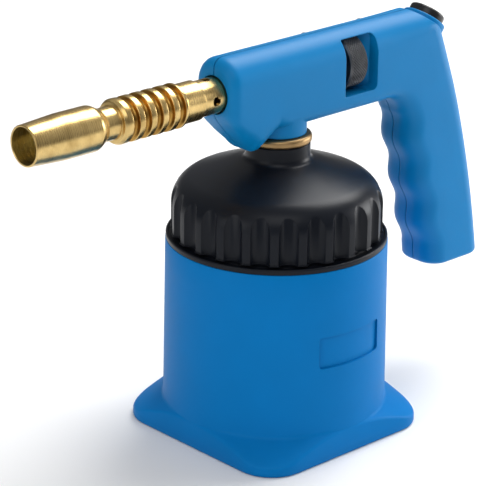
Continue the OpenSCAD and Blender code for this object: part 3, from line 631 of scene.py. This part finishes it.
# Distances along the burner count from the container's axis towards the mouth.
TUBE_BACK, TUBE_BORE_R = 17.0, 6.1
AIR_HOLE, AIR_HOLE_R = 42.4, 2.0
COLLAR_R = 8.5
GROOVE_COUNT, FIRST_GROOVE, GROOVE_PITCH, GROOVE_FLOOR_R = 5, 62.2, 6.1, 7.5
GROOVED_START, GROOVED_END = 60, 89
WAIST_R, WAIST_BORE_R, WAIST_END = 7.0, 5.35, 99.1
NOZZLE_BACK, NOZZLE_SHOULDER, MOUTH = 91.3, 99.25, 136.6
NOZZLE_SPIGOT_R, NOZZLE_THROAT_R = 5.25, 4.3  # outside and inside of the part within the waist
NOZZLE_R, NOZZLE_BORE_R = 9.5, 8.4


class TORCH_OT_burner_tube(bpy.types.Operator):
    """Models the burner tube: a plain rear part with four air holes, a collar, cooling ribs and a waist"""

    bl_idname = "torch.burner_tube"
    bl_label = "Burner tube"

    def execute(self, context):
        s = sizes()
        outline = [(TUBE_BORE_R, TUBE_BACK), (s.tube_r - 0.4, TUBE_BACK), (s.tube_r, 17.4), (s.tube_r, 30.0)]
        outline += soften(
            [(s.tube_r, 40.0), (s.tube_r, 48.3, 0.25), (COLLAR_R, 48.9, 0.4), (COLLAR_R, 58.4, 0.5)]
            + [(s.rib_r, 59.4, 0.5), (s.rib_r, 60.0)]
        )[1:-1]
        for i in range(GROOVE_COUNT):
            centre = FIRST_GROOVE + GROOVE_PITCH * i
            outline += soften(
                [
                    (s.rib_r, centre - 2.4),
                    (s.rib_r, centre - 1.7, 0.35),
                    (GROOVE_FLOOR_R, centre - 1.3, 0.9),
                    (GROOVE_FLOOR_R, centre + 1.3, 0.9),
                    (s.rib_r, centre + 1.7, 0.35),
                    (s.rib_r, centre + 2.2),
                ]
            )[1:-1]
        outline += soften(
            [(s.rib_r, 89.6), (s.rib_r, 90.9, 0.8), (8.6, 92.3, 0.7), (WAIST_R, 92.5, 0.3)]
            + [(WAIST_R, 96.0), (WAIST_R, WAIST_END)]
        )[1:]
        outline += [(WAIST_BORE_R, WAIST_END), (WAIST_BORE_R, 90.2), (TUBE_BORE_R, 89.2)]
        tube = turned("burner_tube_body", outline, steps=144)
        move(tube, burner_place())
        for a, b in (((0, -12), (0, 12)), ((-12, 0), (12, 0))):
            ends = [(-AIR_HOLE, y, AXIS_Z + z) for y, z in (a, b)]
            combine(tube, rod(AIR_HOLE_R, *ends, steps=48), "DIFFERENCE")
        hand_over(tube, "head", polished_brass(), ["burner_tube"], angle=38)
        # The grooves' faces get a darker brass: painted shade.
        tube.data.materials.append(groove_shade_brass())
        for face in tube.data.polygons:
            radius = math.hypot(face.center.y, face.center.z - AXIS_Z * MM) / MM
            along = -face.center.x / MM
            if GROOVED_START < along < GROOVED_END and TUBE_BORE_R + 0.4 < radius < s.rib_r - 0.5:
                face.material_index = 1
        return {"FINISHED"}


class TORCH_OT_burner_nozzle(bpy.types.Operator):
    """Models the nozzle: a rounded shoulder, a slim barrel that narrows to a thin lip, and an inside in paler brass,
    which is painted light
    """

    bl_idname = "torch.burner_nozzle"
    bl_label = "Burner nozzle"

    def execute(self, context):
        outline = [(NOZZLE_THROAT_R, NOZZLE_BACK), (NOZZLE_SPIGOT_R, NOZZLE_BACK), (NOZZLE_SPIGOT_R, NOZZLE_SHOULDER)]
        outline += soften(
            [(NOZZLE_SPIGOT_R, NOZZLE_SHOULDER), (7.2, NOZZLE_SHOULDER, 0.3), (NOZZLE_R, 103.6, 3.4)]
            + [(NOZZLE_R, 119.5, 30), (8.5, 136.0)]
        )[1:]
        outline += [(8.5, 136.2), (8.42, 136.5), (8.2, MOUTH), (7.75, MOUTH), (7.6, 136.4), (7.7, 134.5)]
        outline += [(8.2, 126.0), (NOZZLE_BORE_R, 119.0), (NOZZLE_BORE_R, 106.5), (NOZZLE_THROAT_R, 103.2)]
        nozzle = turned("burner_nozzle_body", outline, steps=144)
        move(nozzle, burner_place())
        hand_over(nozzle, "head", polished_brass(), ["burner_nozzle"])
        # Faces that look in towards the axis get the paler brass: painted light inside the nozzle.
        nozzle.data.materials.append(lit_inner_brass())
        for face in nozzle.data.polygons:
            out = Vector((0, face.center.y, face.center.z - AXIS_Z * MM))
            if face.normal.dot(out) < 0 and face.center.x > (0.4 - MOUTH) * MM:
                face.material_index = 1
        return {"FINISHED"}


# ------------------------------------------------------------------ handle


NOSE_X = -37.4
NOSE_R, NOSE_ROOM_R = 4.5, 2.3  # rounding of the nose's front edge, outside and inside
TOP_Z = 172.6
BARREL_LOW_Z = 137.5
TOP_EDGE_R = 11.9  # rounding along the barrel's top
LOW_EDGE_R, CHIN_EDGE_MORE = 4.6, 3.6  # rounding along the underside, and what the chin adds to it
FAN = (56.0, 124.5)  # centre of the inner corner's curve, X and Z
FAN_R = 13.0
FAN_STEPS = 18
BOSS_FOOT_Z = 133.4  # lower end of the boss that holds the valve body
GRIP_LEAN = 14.4  # how far the grip's cross-sections tip back, in degrees
GRIP_EDGE_R = 9.0
GRIP_END_Z, GRIP_END_R = 50.8, 2.2
REAR_CENTRE, REAR_R = (-366.2, -17.6), 493.0  # the long curve down the grip's back
GRIP_FRONT, GRIP_FRONT_SLOPE = (69.9, 122), 0.257  # a point on the grip's front line, X and Z, and its lean
FINGER_PITCH, FIRST_FINGER_Z = 20.6, 123.4
FINGERS_END_Z, FINGERS_FADE = 52, 6  # the grooves fade out towards the grip's end
QUARTER_TURN = [math.radians(15 * k) for k in range(7)]
# Cross-sections along the barrel stand close together round the chin and further apart behind it.
CHIN_STOPS = (-31.6, -30.4, -29.1, -27.8, -26.7, -25.6, -24.5, -23.7, -22.9, -22.5, -22.2, -21.8, -21.4, -20.9)
BARREL_STOPS = (-20.4, -19.7, -19, -17.5, -16, -14, -12, -10, -9.5, -9, -8.5, -8, -4, 4, 14, 24, 34, 42, 48, 52)
# The underside of the barrel and the chin, as height over X
UNDERSIDE = [
    (-60, 171), (-38.2, 148.5), (-36.5, 146.3), (-34.1, 143.6), (-31.6, 140.8), (-29.1, 137.8), (-26.7, 135.4),
    (-24.5, 133.2), (-22.9, 131.5), (-22.2, 130.7), (-21.4, 130.1), (-20.4, 130.2), (-19, 131.0), (-14, 134.4),
    (-10, 137.1), (-9, 137.45), (-8, BARREL_LOW_Z), (200, BARREL_LOW_Z),
]


def underside(x):
    """Height of the barrel's underside or of the chin at X."""
    for (x1, z1), (x2, z2) in zip(UNDERSIDE, UNDERSIDE[1:]):
        if x <= x2:
            return z1 + (z2 - z1) * (x - x1) / (x2 - x1)
    return UNDERSIDE[-1][1]


def grip_front(z):
    """Front line of the grip with its finger grooves."""
    fade = min(1, max(0, (z - FINGERS_END_Z) / FINGERS_FADE))
    wave = math.cos(2 * math.pi * (z - FIRST_FINGER_Z) / FINGER_PITCH)
    return GRIP_FRONT[0] + (GRIP_FRONT[1] - z) * GRIP_FRONT_SLOPE + sizes().finger_d * wave * fade


def rear_hit(x, z, dx, dz):
    """Where a line from a point inside meets the grip's rear curve."""
    px, pz = x - REAR_CENTRE[0], z - REAR_CENTRE[1]
    b = px * dx + pz * dz
    t = -b + math.sqrt(b * b - (px * px + pz * pz - REAR_R * REAR_R))
    return x + t * dx, z + t * dz


def section(outer, inner, half_w, r_outer, r_inner, inset):
    """One cross-section of the handle: a rounded outline between an outer and an inner point (X, Z)."""
    outer, inner = Vector(outer), Vector(inner)
    along = (outer - inner).normalized()
    depth = (outer - inner).length - 2 * inset
    start = inner + along * inset
    w = half_w - inset
    # A rounding keeps at least 0.4 mm and ends just short of the half width.
    r_outer = min(max(r_outer - inset, 0.4), w - 0.3)
    r_inner = min(max(r_inner - inset, 0.4), w - 0.3)
    half = [(0, depth)] + arc(w - r_outer, depth - r_outer, r_outer, 90, 0, 14)
    for k in (0.25, 0.5, 0.75):
        half.append((w, (depth - r_outer) * (1 - k) + r_inner * k))
    half += arc(w - r_inner, r_inner, r_inner, 0, -90, 9) + [(0, 0)]
    loop = half + [(-y, v) for y, v in reversed(half[1:-1])]
    return [(start.x + along.x * v, y, start.y + along.y * v) for y, v in loop]


def handle_rings(inset=0.0):
    """Cross-sections from the nose along the barrel, round the corner and down the grip."""
    half_w = sizes().half_w
    rings = []
    stops = []
    nose_r = NOSE_ROOM_R if inset else NOSE_R
    for turn in QUARTER_TURN:
        stops.append((NOSE_X + inset + nose_r * (1 - math.cos(turn)), nose_r * (1 - math.sin(turn))))
    stops += [(x, 0) for x in CHIN_STOPS + BARREL_STOPS]
    for x, shrink in stops:
        low = underside(x) + shrink * 0.45
        # The chin's softer edges come in behind the nose and go out again before the boss.
        chin = max(0, min(1, (x + 33) / 9)) * max(0, min(1, (-6 - x) / 4))
        if inset:
            # The room inside has a level floor behind the chin.
            low = BARREL_LOW_Z if x > -18.6 else low + inset * 0.4
        edge_r = LOW_EDGE_R + CHIN_EDGE_MORE * chin - shrink * 0.5
        rings.append(section((x, TOP_Z - shrink), (x, low), half_w - shrink, TOP_EDGE_R - shrink, edge_r, inset))
    for k in range(FAN_STEPS + 1):
        t = k / FAN_STEPS
        angle = math.radians(90 - (90 - GRIP_LEAN) * k / FAN_STEPS)
        dx, dz = math.cos(angle), math.sin(angle)
        outer = (FAN[0] + (TOP_Z - FAN[1]) / dz * dx, TOP_Z)
        rear = rear_hit(*FAN, dx, dz)
        if rear[1] < TOP_Z:
            outer = rear
        inner = (FAN[0] + FAN_R * dx, FAN[1] + FAN_R * dz)
        rings.append(section(outer, inner, half_w, TOP_EDGE_R - 2.9 * t, 5 + 4 * t, inset))
    z = 126.5
    while z > 57:
        lean = math.radians(GRIP_LEAN * min(1, max(0, (z - 55) / 26)))
        inner = (grip_front(z), z)
        outer = rear_hit(*inner, math.cos(lean), math.sin(lean))
        rings.append(section(outer, inner, half_w, GRIP_EDGE_R, GRIP_EDGE_R, inset))
        z -= 1.4
    for turn in QUARTER_TURN:
        z = GRIP_END_Z + inset + GRIP_END_R * (1 - math.sin(turn))
        shrink = GRIP_END_R * (1 - math.cos(turn))
        inner = (grip_front(z) + shrink, z)
        outer = rear_hit(*inner, 1, 0)
        edge_r = GRIP_EDGE_R - shrink
        rings.append(section((outer[0] - shrink, z), inner, half_w - shrink, edge_r, edge_r, inset))
    return rings


def corner_cut(offset=0.0):
    """A block that cuts the upper rear corner square to the igniter's axis, below the collar's rim."""
    block = box((-40, -30, -2.5 - offset), (40, 30, 40))
    return move(block, igniter_place())


WINDOW_X, WINDOW_Z = (27.7, 47.2), (145.0, 169.6)
WINDOW_REAR_R, WINDOW_FRONT_R = 2.4, 0.8  # corner roundings


def window_cutter():
    """The wheel's window, with rounded corners and a rear wall that slants in to clear the thumb deep down."""
    front, rear = WINDOW_X
    low, high = WINDOW_Z
    outline = soften(
        [(37, low), (rear, low, WINDOW_REAR_R), (rear, high, WINDOW_REAR_R)]
        + [(front, high, WINDOW_FRONT_R), (front, low, WINDOW_FRONT_R), (37, low)]
    )
    cutter = prism("window", outline[:-1], -20, 20, axis="Y")
    plan = [(20, -20), (50, -20), (50, -9.8), (42.9, -2.6), (42.9, 2.6), (50, 9.8), (50, 20), (20, 20)]
    return combine(cutter, prism("plan", plan, 140, 175), "INTERSECT")


SCREWS = ((-25, 143), (22.5, 168), (56, 168), (96, 104), (104, 62))  # X and Z
SCREW_POST_R, SCREW_HEAD_R, SCREW_HEAD_DEPTH = 3.6, 2.55, 5


class TORCH_OT_handle(bpy.types.Operator):
    """Models the pistol-shaped handle as two hollow shells, with the wheel's window and the holes cut through"""

    bl_idname = "torch.handle"
    bl_label = "Handle"

    def execute(self, context):
        s = sizes()
        body = skin("handle_body", handle_rings())
        combine(body, corner_cut(), "DIFFERENCE")
        # Room for the dome's neck and the lock ring, and the boss that the valve body stands in
        combine(body, rod(15.1, (0, 0, 100), (0, 0, BOSS_FOOT_Z), steps=128), "DIFFERENCE")
        combine(body, rod(12.1, (0, 0, BOSS_FOOT_Z), (0, 0, 145), steps=128), "UNION")
        room = skin("handle_room", handle_rings(s.shell_wall))
        combine(room, corner_cut(s.shell_wall), "DIFFERENCE")
        w = s.half_w
        # Walls in front of, behind and under the wheel, and posts for the screws
        for low, high in (
            ((25.5, -w, 143.6), (27.7, w, 180)),
            ((42.7, -w, 143.6), (49.4, w, 180)),
            ((25.6, -w, 143.61), (49.3, w, 144.8)),
        ):
            combine(room, box(low, high), "DIFFERENCE")
        for x, z in SCREWS:
            combine(room, rod(SCREW_POST_R, (x, -w - 1, z), (x, w + 1, z)), "DIFFERENCE")
        combine(body, room, "DIFFERENCE")
        combine(body, window_cutter(), "DIFFERENCE")
        # Bores along the burner's axis: the wheel's, the spindle's and the tube's
        for r, start, end, steps in (
            (s.wheel_r + 0.7, 27.7, 42.8, 128),
            (3.9, 20, 28, 64),
            (s.tube_r + 0.6, -50, -30, 96),
        ):
            combine(body, rod(r, (start, 0, AXIS_Z), (end, 0, AXIS_Z), steps=steps), "DIFFERENCE")
        combine(body, rod(9.3, (0, 0, 130), (0, 0, 143), steps=96), "DIFFERENCE")
        # The collar's seat and the igniter's bore
        for r, low, high, steps in ((10.0, -6, 20, 96), (6.5, -31, -5, 64)):
            combine(body, move(rod(r, (0, 0, low), (0, 0, high), steps=steps), igniter_place()), "DIFFERENCE")
        right = copy_of(body, "handle_right_shell")
        gap = s.parting_gap / 2
        combine(body, box((-80, -gap, 0), (200, 40, 200)), "DIFFERENCE")
        combine(right, box((-80, -40, 0), (200, gap, 200)), "DIFFERENCE")
        for x, z in SCREWS:
            combine(right, rod(SCREW_HEAD_R, (x, w - SCREW_HEAD_DEPTH, z), (x, w + 2, z)), "DIFFERENCE")
        body.name = "handle_left_shell"
        for shell, node in ((body, "handle_left"), (right, "handle_right")):
            hand_over(shell, "head", handle_plastic(), [node], angle=28)
        return {"FINISHED"}


# ------------------------------------------------------------------ wheel, button and collar


WHEEL_X, WHEEL_W = 31.5, 10.2
WHEEL_BORE_R, HUB_R, HUB_W = 2.52, 3.6, 8.6
TREAD_START, TREAD_W, TREAD_ROWS = 0.9, 8.4, 37
KNURLS_ROUND, KNURL_PITCH = 56, 1.36  # a little coarser than the real knurl, so that it shows


class TORCH_OT_regulator_wheel(bpy.types.Operator):
    """Models the regulator wheel with chamfered rims and a diamond knurl pressed into its tread"""

    bl_idname = "torch.regulator_wheel"
    bl_label = "Regulator wheel"

    def execute(self, context):
        s = sizes()
        r = s.wheel_r
        outline = [(WHEEL_BORE_R, 0.0), (HUB_R, 0.0), (r - 0.9, 0.0), (r - 0.1, 0.7)]
        outline += [(r, TREAD_START + TREAD_W * k / TREAD_ROWS) for k in range(TREAD_ROWS + 1)]
        outline += [(r - 0.1, WHEEL_W - 0.7), (r - 0.9, WHEEL_W), (HUB_R, WHEEL_W)]
        outline += [(HUB_R, HUB_W), (WHEEL_BORE_R, HUB_W)]
        wheel = turned("regulator_wheel_body", outline, steps=6 * KNURLS_ROUND)
        pitch = 2 * math.pi / KNURLS_ROUND
        for v in wheel.data.vertices:
            if abs(math.hypot(v.co.x, v.co.y) - r * MM) < 0.01 * MM:
                a, z = math.atan2(v.co.y, v.co.x) / pitch, v.co.z / MM / KNURL_PITCH
                u, w = (a + z) % 1, (a - z) % 1
                groove = max(0, 1 - 3.2 * min(u, 1 - u), 1 - 3.2 * min(w, 1 - w))
                k = 1 - s.knurl_d * groove / r
                v.co.x, v.co.y = v.co.x * k, v.co.y * k
        move(wheel, Matrix.Translation((WHEEL_X * MM, 0, AXIS_Z * MM)) @ Matrix.Rotation(math.radians(90), 4, "Y"))
        # Burnished die-cast zinc: a dull grey metal with darker patches.
        metal = turned_metal(
            "burnished zinc, wheel", tuple(colours().wheel), linear("#3c3d40"), 0.4, amount=0.8, edge=0.05
        )
        hand_over(wheel, "spindle", metal, ["regulator_wheel"], angle=25)
        return {"FINISHED"}


class TORCH_OT_igniter(bpy.types.Operator):
    """Models the igniter's round button and the raised collar that it slides in"""

    bl_idname = "torch.igniter"
    bl_label = "Igniter button"

    def execute(self, context):
        # Heights count from the collar's rim, up along the igniter's axis.
        plunger_r, skirt, top, roof = 4.02, -0.95, 3.8, 1.75
        outline = [(plunger_r, roof), (plunger_r, skirt)]
        outline += soften([(plunger_r, skirt), (8.1, skirt, 0.3), (8.1, 3.75, 1.3), (6.0, 3.78)])[1:]
        outline += [(4.5, top), (3.0, top), (1.5, top), (0.02, top), (0.02, roof)]
        button = turned("igniter_button_cap", outline, steps=96)
        move(button, igniter_place())
        # Glossy moulded ABS, the shiniest of the plastics here.
        black = moulded_plastic("moulded ABS, button", tuple(colours().button), 0.28, edge=0.4, depth=0.006, gloss=0.3)
        hand_over(button, "button", black, ["igniter_button"])
        bore, out = 8.42, 9.88
        outline = soften(
            [(bore, -4.0), (bore, -5.0), (4.5, -5.0), (4.5, -6.0), (out, -6.0, 0.3), (out, 0, 0.7)]
            + [(bore, 0, 0.5), (bore, -2.0)]
        )
        collar = turned("button_collar_body", outline, steps=128)
        move(collar, igniter_place())
        hand_over(collar, "head", handle_plastic(), ["button_collar"])
        return {"FINISHED"}


class TORCH_OT_inner_parts(bpy.types.Operator):
    """Gives the valve, jet, igniter and other inner parts their materials"""

    bl_idname = "torch.inner_parts"
    bl_label = "Inner parts"

    def execute(self, context):
        finishes = {
            ("valve_body", "gland_nut", "jet_holder", "gas_jet"): polished_brass("X"),
            ("wheel_screw", "handle_screws", "valve_spindle"): bright_steel("X"),
            ("piercing_needle", "ignition_electrode", "flame_holder"): bright_steel("Z"),
            ("cartridge",): turned_metal(
                "lacquered tinplate", linear("#8d9db5"), linear("#6e7f9b"), 0.25, axis="Z", pitch=3.0, depth=0.01
            ),
            ("cartridge_gasket", "spindle_o_ring", "ignition_lead"): soft_surface(
                "black rubber", linear("#1b1b1c"), 0.7, 0.6, 0.03
            ),
            ("stem_washer",): soft_surface("red vulcanised fibre", linear("#7c2f22"), 0.8, 0.4, 0.05),
            ("gas_filter",): soft_surface("pressed felt", linear("#b09a74"), 0.95, 0.3, 0.1),
            ("electrode_insulator",): soft_surface("glazed porcelain", linear("#e6e3da"), 0.2, 1.5, 0.01),
            ("piezo_igniter",): soft_surface("glass-filled nylon", linear("#2c2c30"), 0.55, 0.3, 0.03),
            ("igniter_plunger",): soft_surface("acetal, natural", linear("#dcd8cc"), 0.35, 0.8, 0.01),
        }
        for names, material in finishes.items():
            for name in names:
                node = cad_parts[name]
                node.data.materials.clear()
                node.data.materials.append(material)
        return {"FINISHED"}


# ------------------------------------------------------------------ stage


# Each soft box has its name, power in watts, size, place and target, in metres.
LAMPS = (
    ("key", 3.8, 0.8, (-0.6, -0.7, 1.1), (0, 0, 0.1)),
    ("left", 3.2, 0.7, (-1.25, 0.0, 0.45), (0, 0, 0.1)),
    ("back", 17, 0.8, (0.8, 0.15, 1.15), (0, 0, 0.15)),
    ("right", 7, 0.5, (1.1, -0.45, 0.3), (0, 0, 0.08)),
)
CAMERA_TURN, CAMERA_RISE, CAMERA_ROLL = math.radians(-43.27), math.radians(21.16), math.radians(0.72)
CAMERA_BACK, CAMERA_RIGHT, CAMERA_UP = 1.1, -0.01438, 0.0764  # distance and shifts, in metres
FOCAL_LENGTH, SENSOR_WIDTH = 183.56, 36.0
WHITE = (1, 1, 1, 1)


def area_light(name, energy, size, place, target):
    """A square soft box of a power in watts and a size in metres, hidden from the camera."""
    lamp = bpy.data.lights.new(name, "AREA")
    lamp.energy, lamp.size, lamp.shape = energy, size, "SQUARE"
    holder = bpy.data.objects.new(name, lamp)
    holder.location = place
    holder.rotation_euler = (Vector(target) - Vector(place)).to_track_quat("-Z", "Y").to_euler()
    holder.visible_camera = False
    bpy.context.scene.collection.objects.link(holder)


class TORCH_OT_stage(bpy.types.Operator):
    """Adds the pale floor, the soft studio light and the camera"""

    bl_idname = "torch.stage"
    bl_label = "Stage"

    def execute(self, context):
        scene = context.scene
        scene.view_settings.view_transform = "Standard"
        deselect()
        bpy.ops.mesh.primitive_plane_add(size=8, location=(0, 0, -0.0002))
        floor = context.object
        floor.name = "floor"
        material, tree = start_material("pale floor")
        paper = add_node(tree, "BsdfDiffuse", {"Color": tuple(colours().backdrop)})
        add_node(tree, "OutputMaterial", {"Surface": paper.outputs["BSDF"]})
        floor.data.materials.append(material)
        world = bpy.data.worlds.new("studio")
        scene.world = world
        world.use_nodes = True
        tree = world.node_tree
        tree.nodes.clear()
        # Seen directly, the studio is plain white.
        seen = add_node(tree, "LightPath")
        direct = add_node(tree, "Math", {0: seen.outputs["Is Camera Ray"], 1: seen.outputs["Is Transmission Ray"]})
        white = add_node(tree, "Background", {"Color": WHITE, "Strength": 1.0})
        # The studio is bright overhead and dim round the sides, like a soft box over a dark room.
        height = add_node(tree, "SeparateXYZ", {"Vector": add_node(tree, "TexCoord").outputs["Generated"]})
        glow = add_node(
            tree,
            "MapRange",
            {"Value": height.outputs["Z"], "From Min": 0.1, "From Max": 0.8, "To Min": 0.16, "To Max": 0.5},
        )
        soft = add_node(tree, "Background", {"Color": WHITE, "Strength": glow.outputs["Result"]})
        mix = add_node(
            tree, "MixShader", {0: direct.outputs[0], 1: soft.outputs["Background"], 2: white.outputs["Background"]}
        )
        add_node(tree, "OutputWorld", {"Surface": mix.outputs["Shader"]})
        for lamp in LAMPS:
            area_light(*lamp)
        lens = bpy.data.cameras.new("camera")
        lens.lens, lens.sensor_width = FOCAL_LENGTH, SENSOR_WIDTH
        lens.clip_start, lens.clip_end = 0.05, 20
        level = math.cos(CAMERA_RISE)
        back = Vector((math.sin(CAMERA_TURN) * level, -math.cos(CAMERA_TURN) * level, math.sin(CAMERA_RISE)))
        right = Vector((math.cos(CAMERA_TURN), math.sin(CAMERA_TURN), 0))
        up = back.cross(right)
        eye = back * CAMERA_BACK + right * CAMERA_RIGHT + up * CAMERA_UP
        right, up = (
            right * math.cos(CAMERA_ROLL) + up * math.sin(CAMERA_ROLL),
            up * math.cos(CAMERA_ROLL) - right * math.sin(CAMERA_ROLL),
        )
        camera = bpy.data.objects.new("camera", lens)
        turn = Matrix((right, up, back)).transposed().to_4x4()
        camera.matrix_world = Matrix.Translation(eye) @ turn
        scene.collection.objects.link(camera)
        scene.camera = camera
        return {"FINISHED"}


# ------------------------------------------------------------------ add-on


class TORCH_PT_panel(bpy.types.Panel):
    """Lists the torch's pieces in the sidebar"""

    bl_label = "Torch"
    bl_space_type = "VIEW_3D"
    bl_region_type = "UI"
    bl_category = "Torch"

    def draw(self, context):
        for operator in OPERATORS:
            self.layout.operator(operator.bl_idname)
        for group in (context.scene.torch_sizes, context.scene.torch_colours):
            for name in group.__annotations__:
                self.layout.prop(group, name)


OPERATORS = (
    TORCH_OT_container,
    TORCH_OT_dome_cap,
    TORCH_OT_lock_ring,
    TORCH_OT_burner_tube,
    TORCH_OT_burner_nozzle,
    TORCH_OT_handle,
    TORCH_OT_regulator_wheel,
    TORCH_OT_igniter,
    TORCH_OT_inner_parts,
    TORCH_OT_stage,
)
CLASSES = (TorchSizes, TorchColours) + OPERATORS + (TORCH_PT_panel,)


def register():
    """Registers the classes and gives each scene its sizes and colours."""
    for cls in CLASSES:
        bpy.utils.register_class(cls)
    bpy.types.Scene.torch_sizes = bpy.props.PointerProperty(type=TorchSizes)
    bpy.types.Scene.torch_colours = bpy.props.PointerProperty(type=TorchColours)


def unregister():
    """Takes back what register did."""
    del bpy.types.Scene.torch_sizes
    del bpy.types.Scene.torch_colours
    for cls in reversed(CLASSES):
        bpy.utils.unregister_class(cls)


def main():
    """Builds every piece and the stage."""
    register()
    bpy.ops.torch.container()
    bpy.ops.torch.dome_cap()
    bpy.ops.torch.lock_ring()
    bpy.ops.torch.burner_tube()
    bpy.ops.torch.burner_nozzle()
    bpy.ops.torch.handle()
    bpy.ops.torch.regulator_wheel()
    bpy.ops.torch.igniter()
    bpy.ops.torch.inner_parts()
    bpy.ops.torch.stage()


if __name__ == "__main__":
    main()
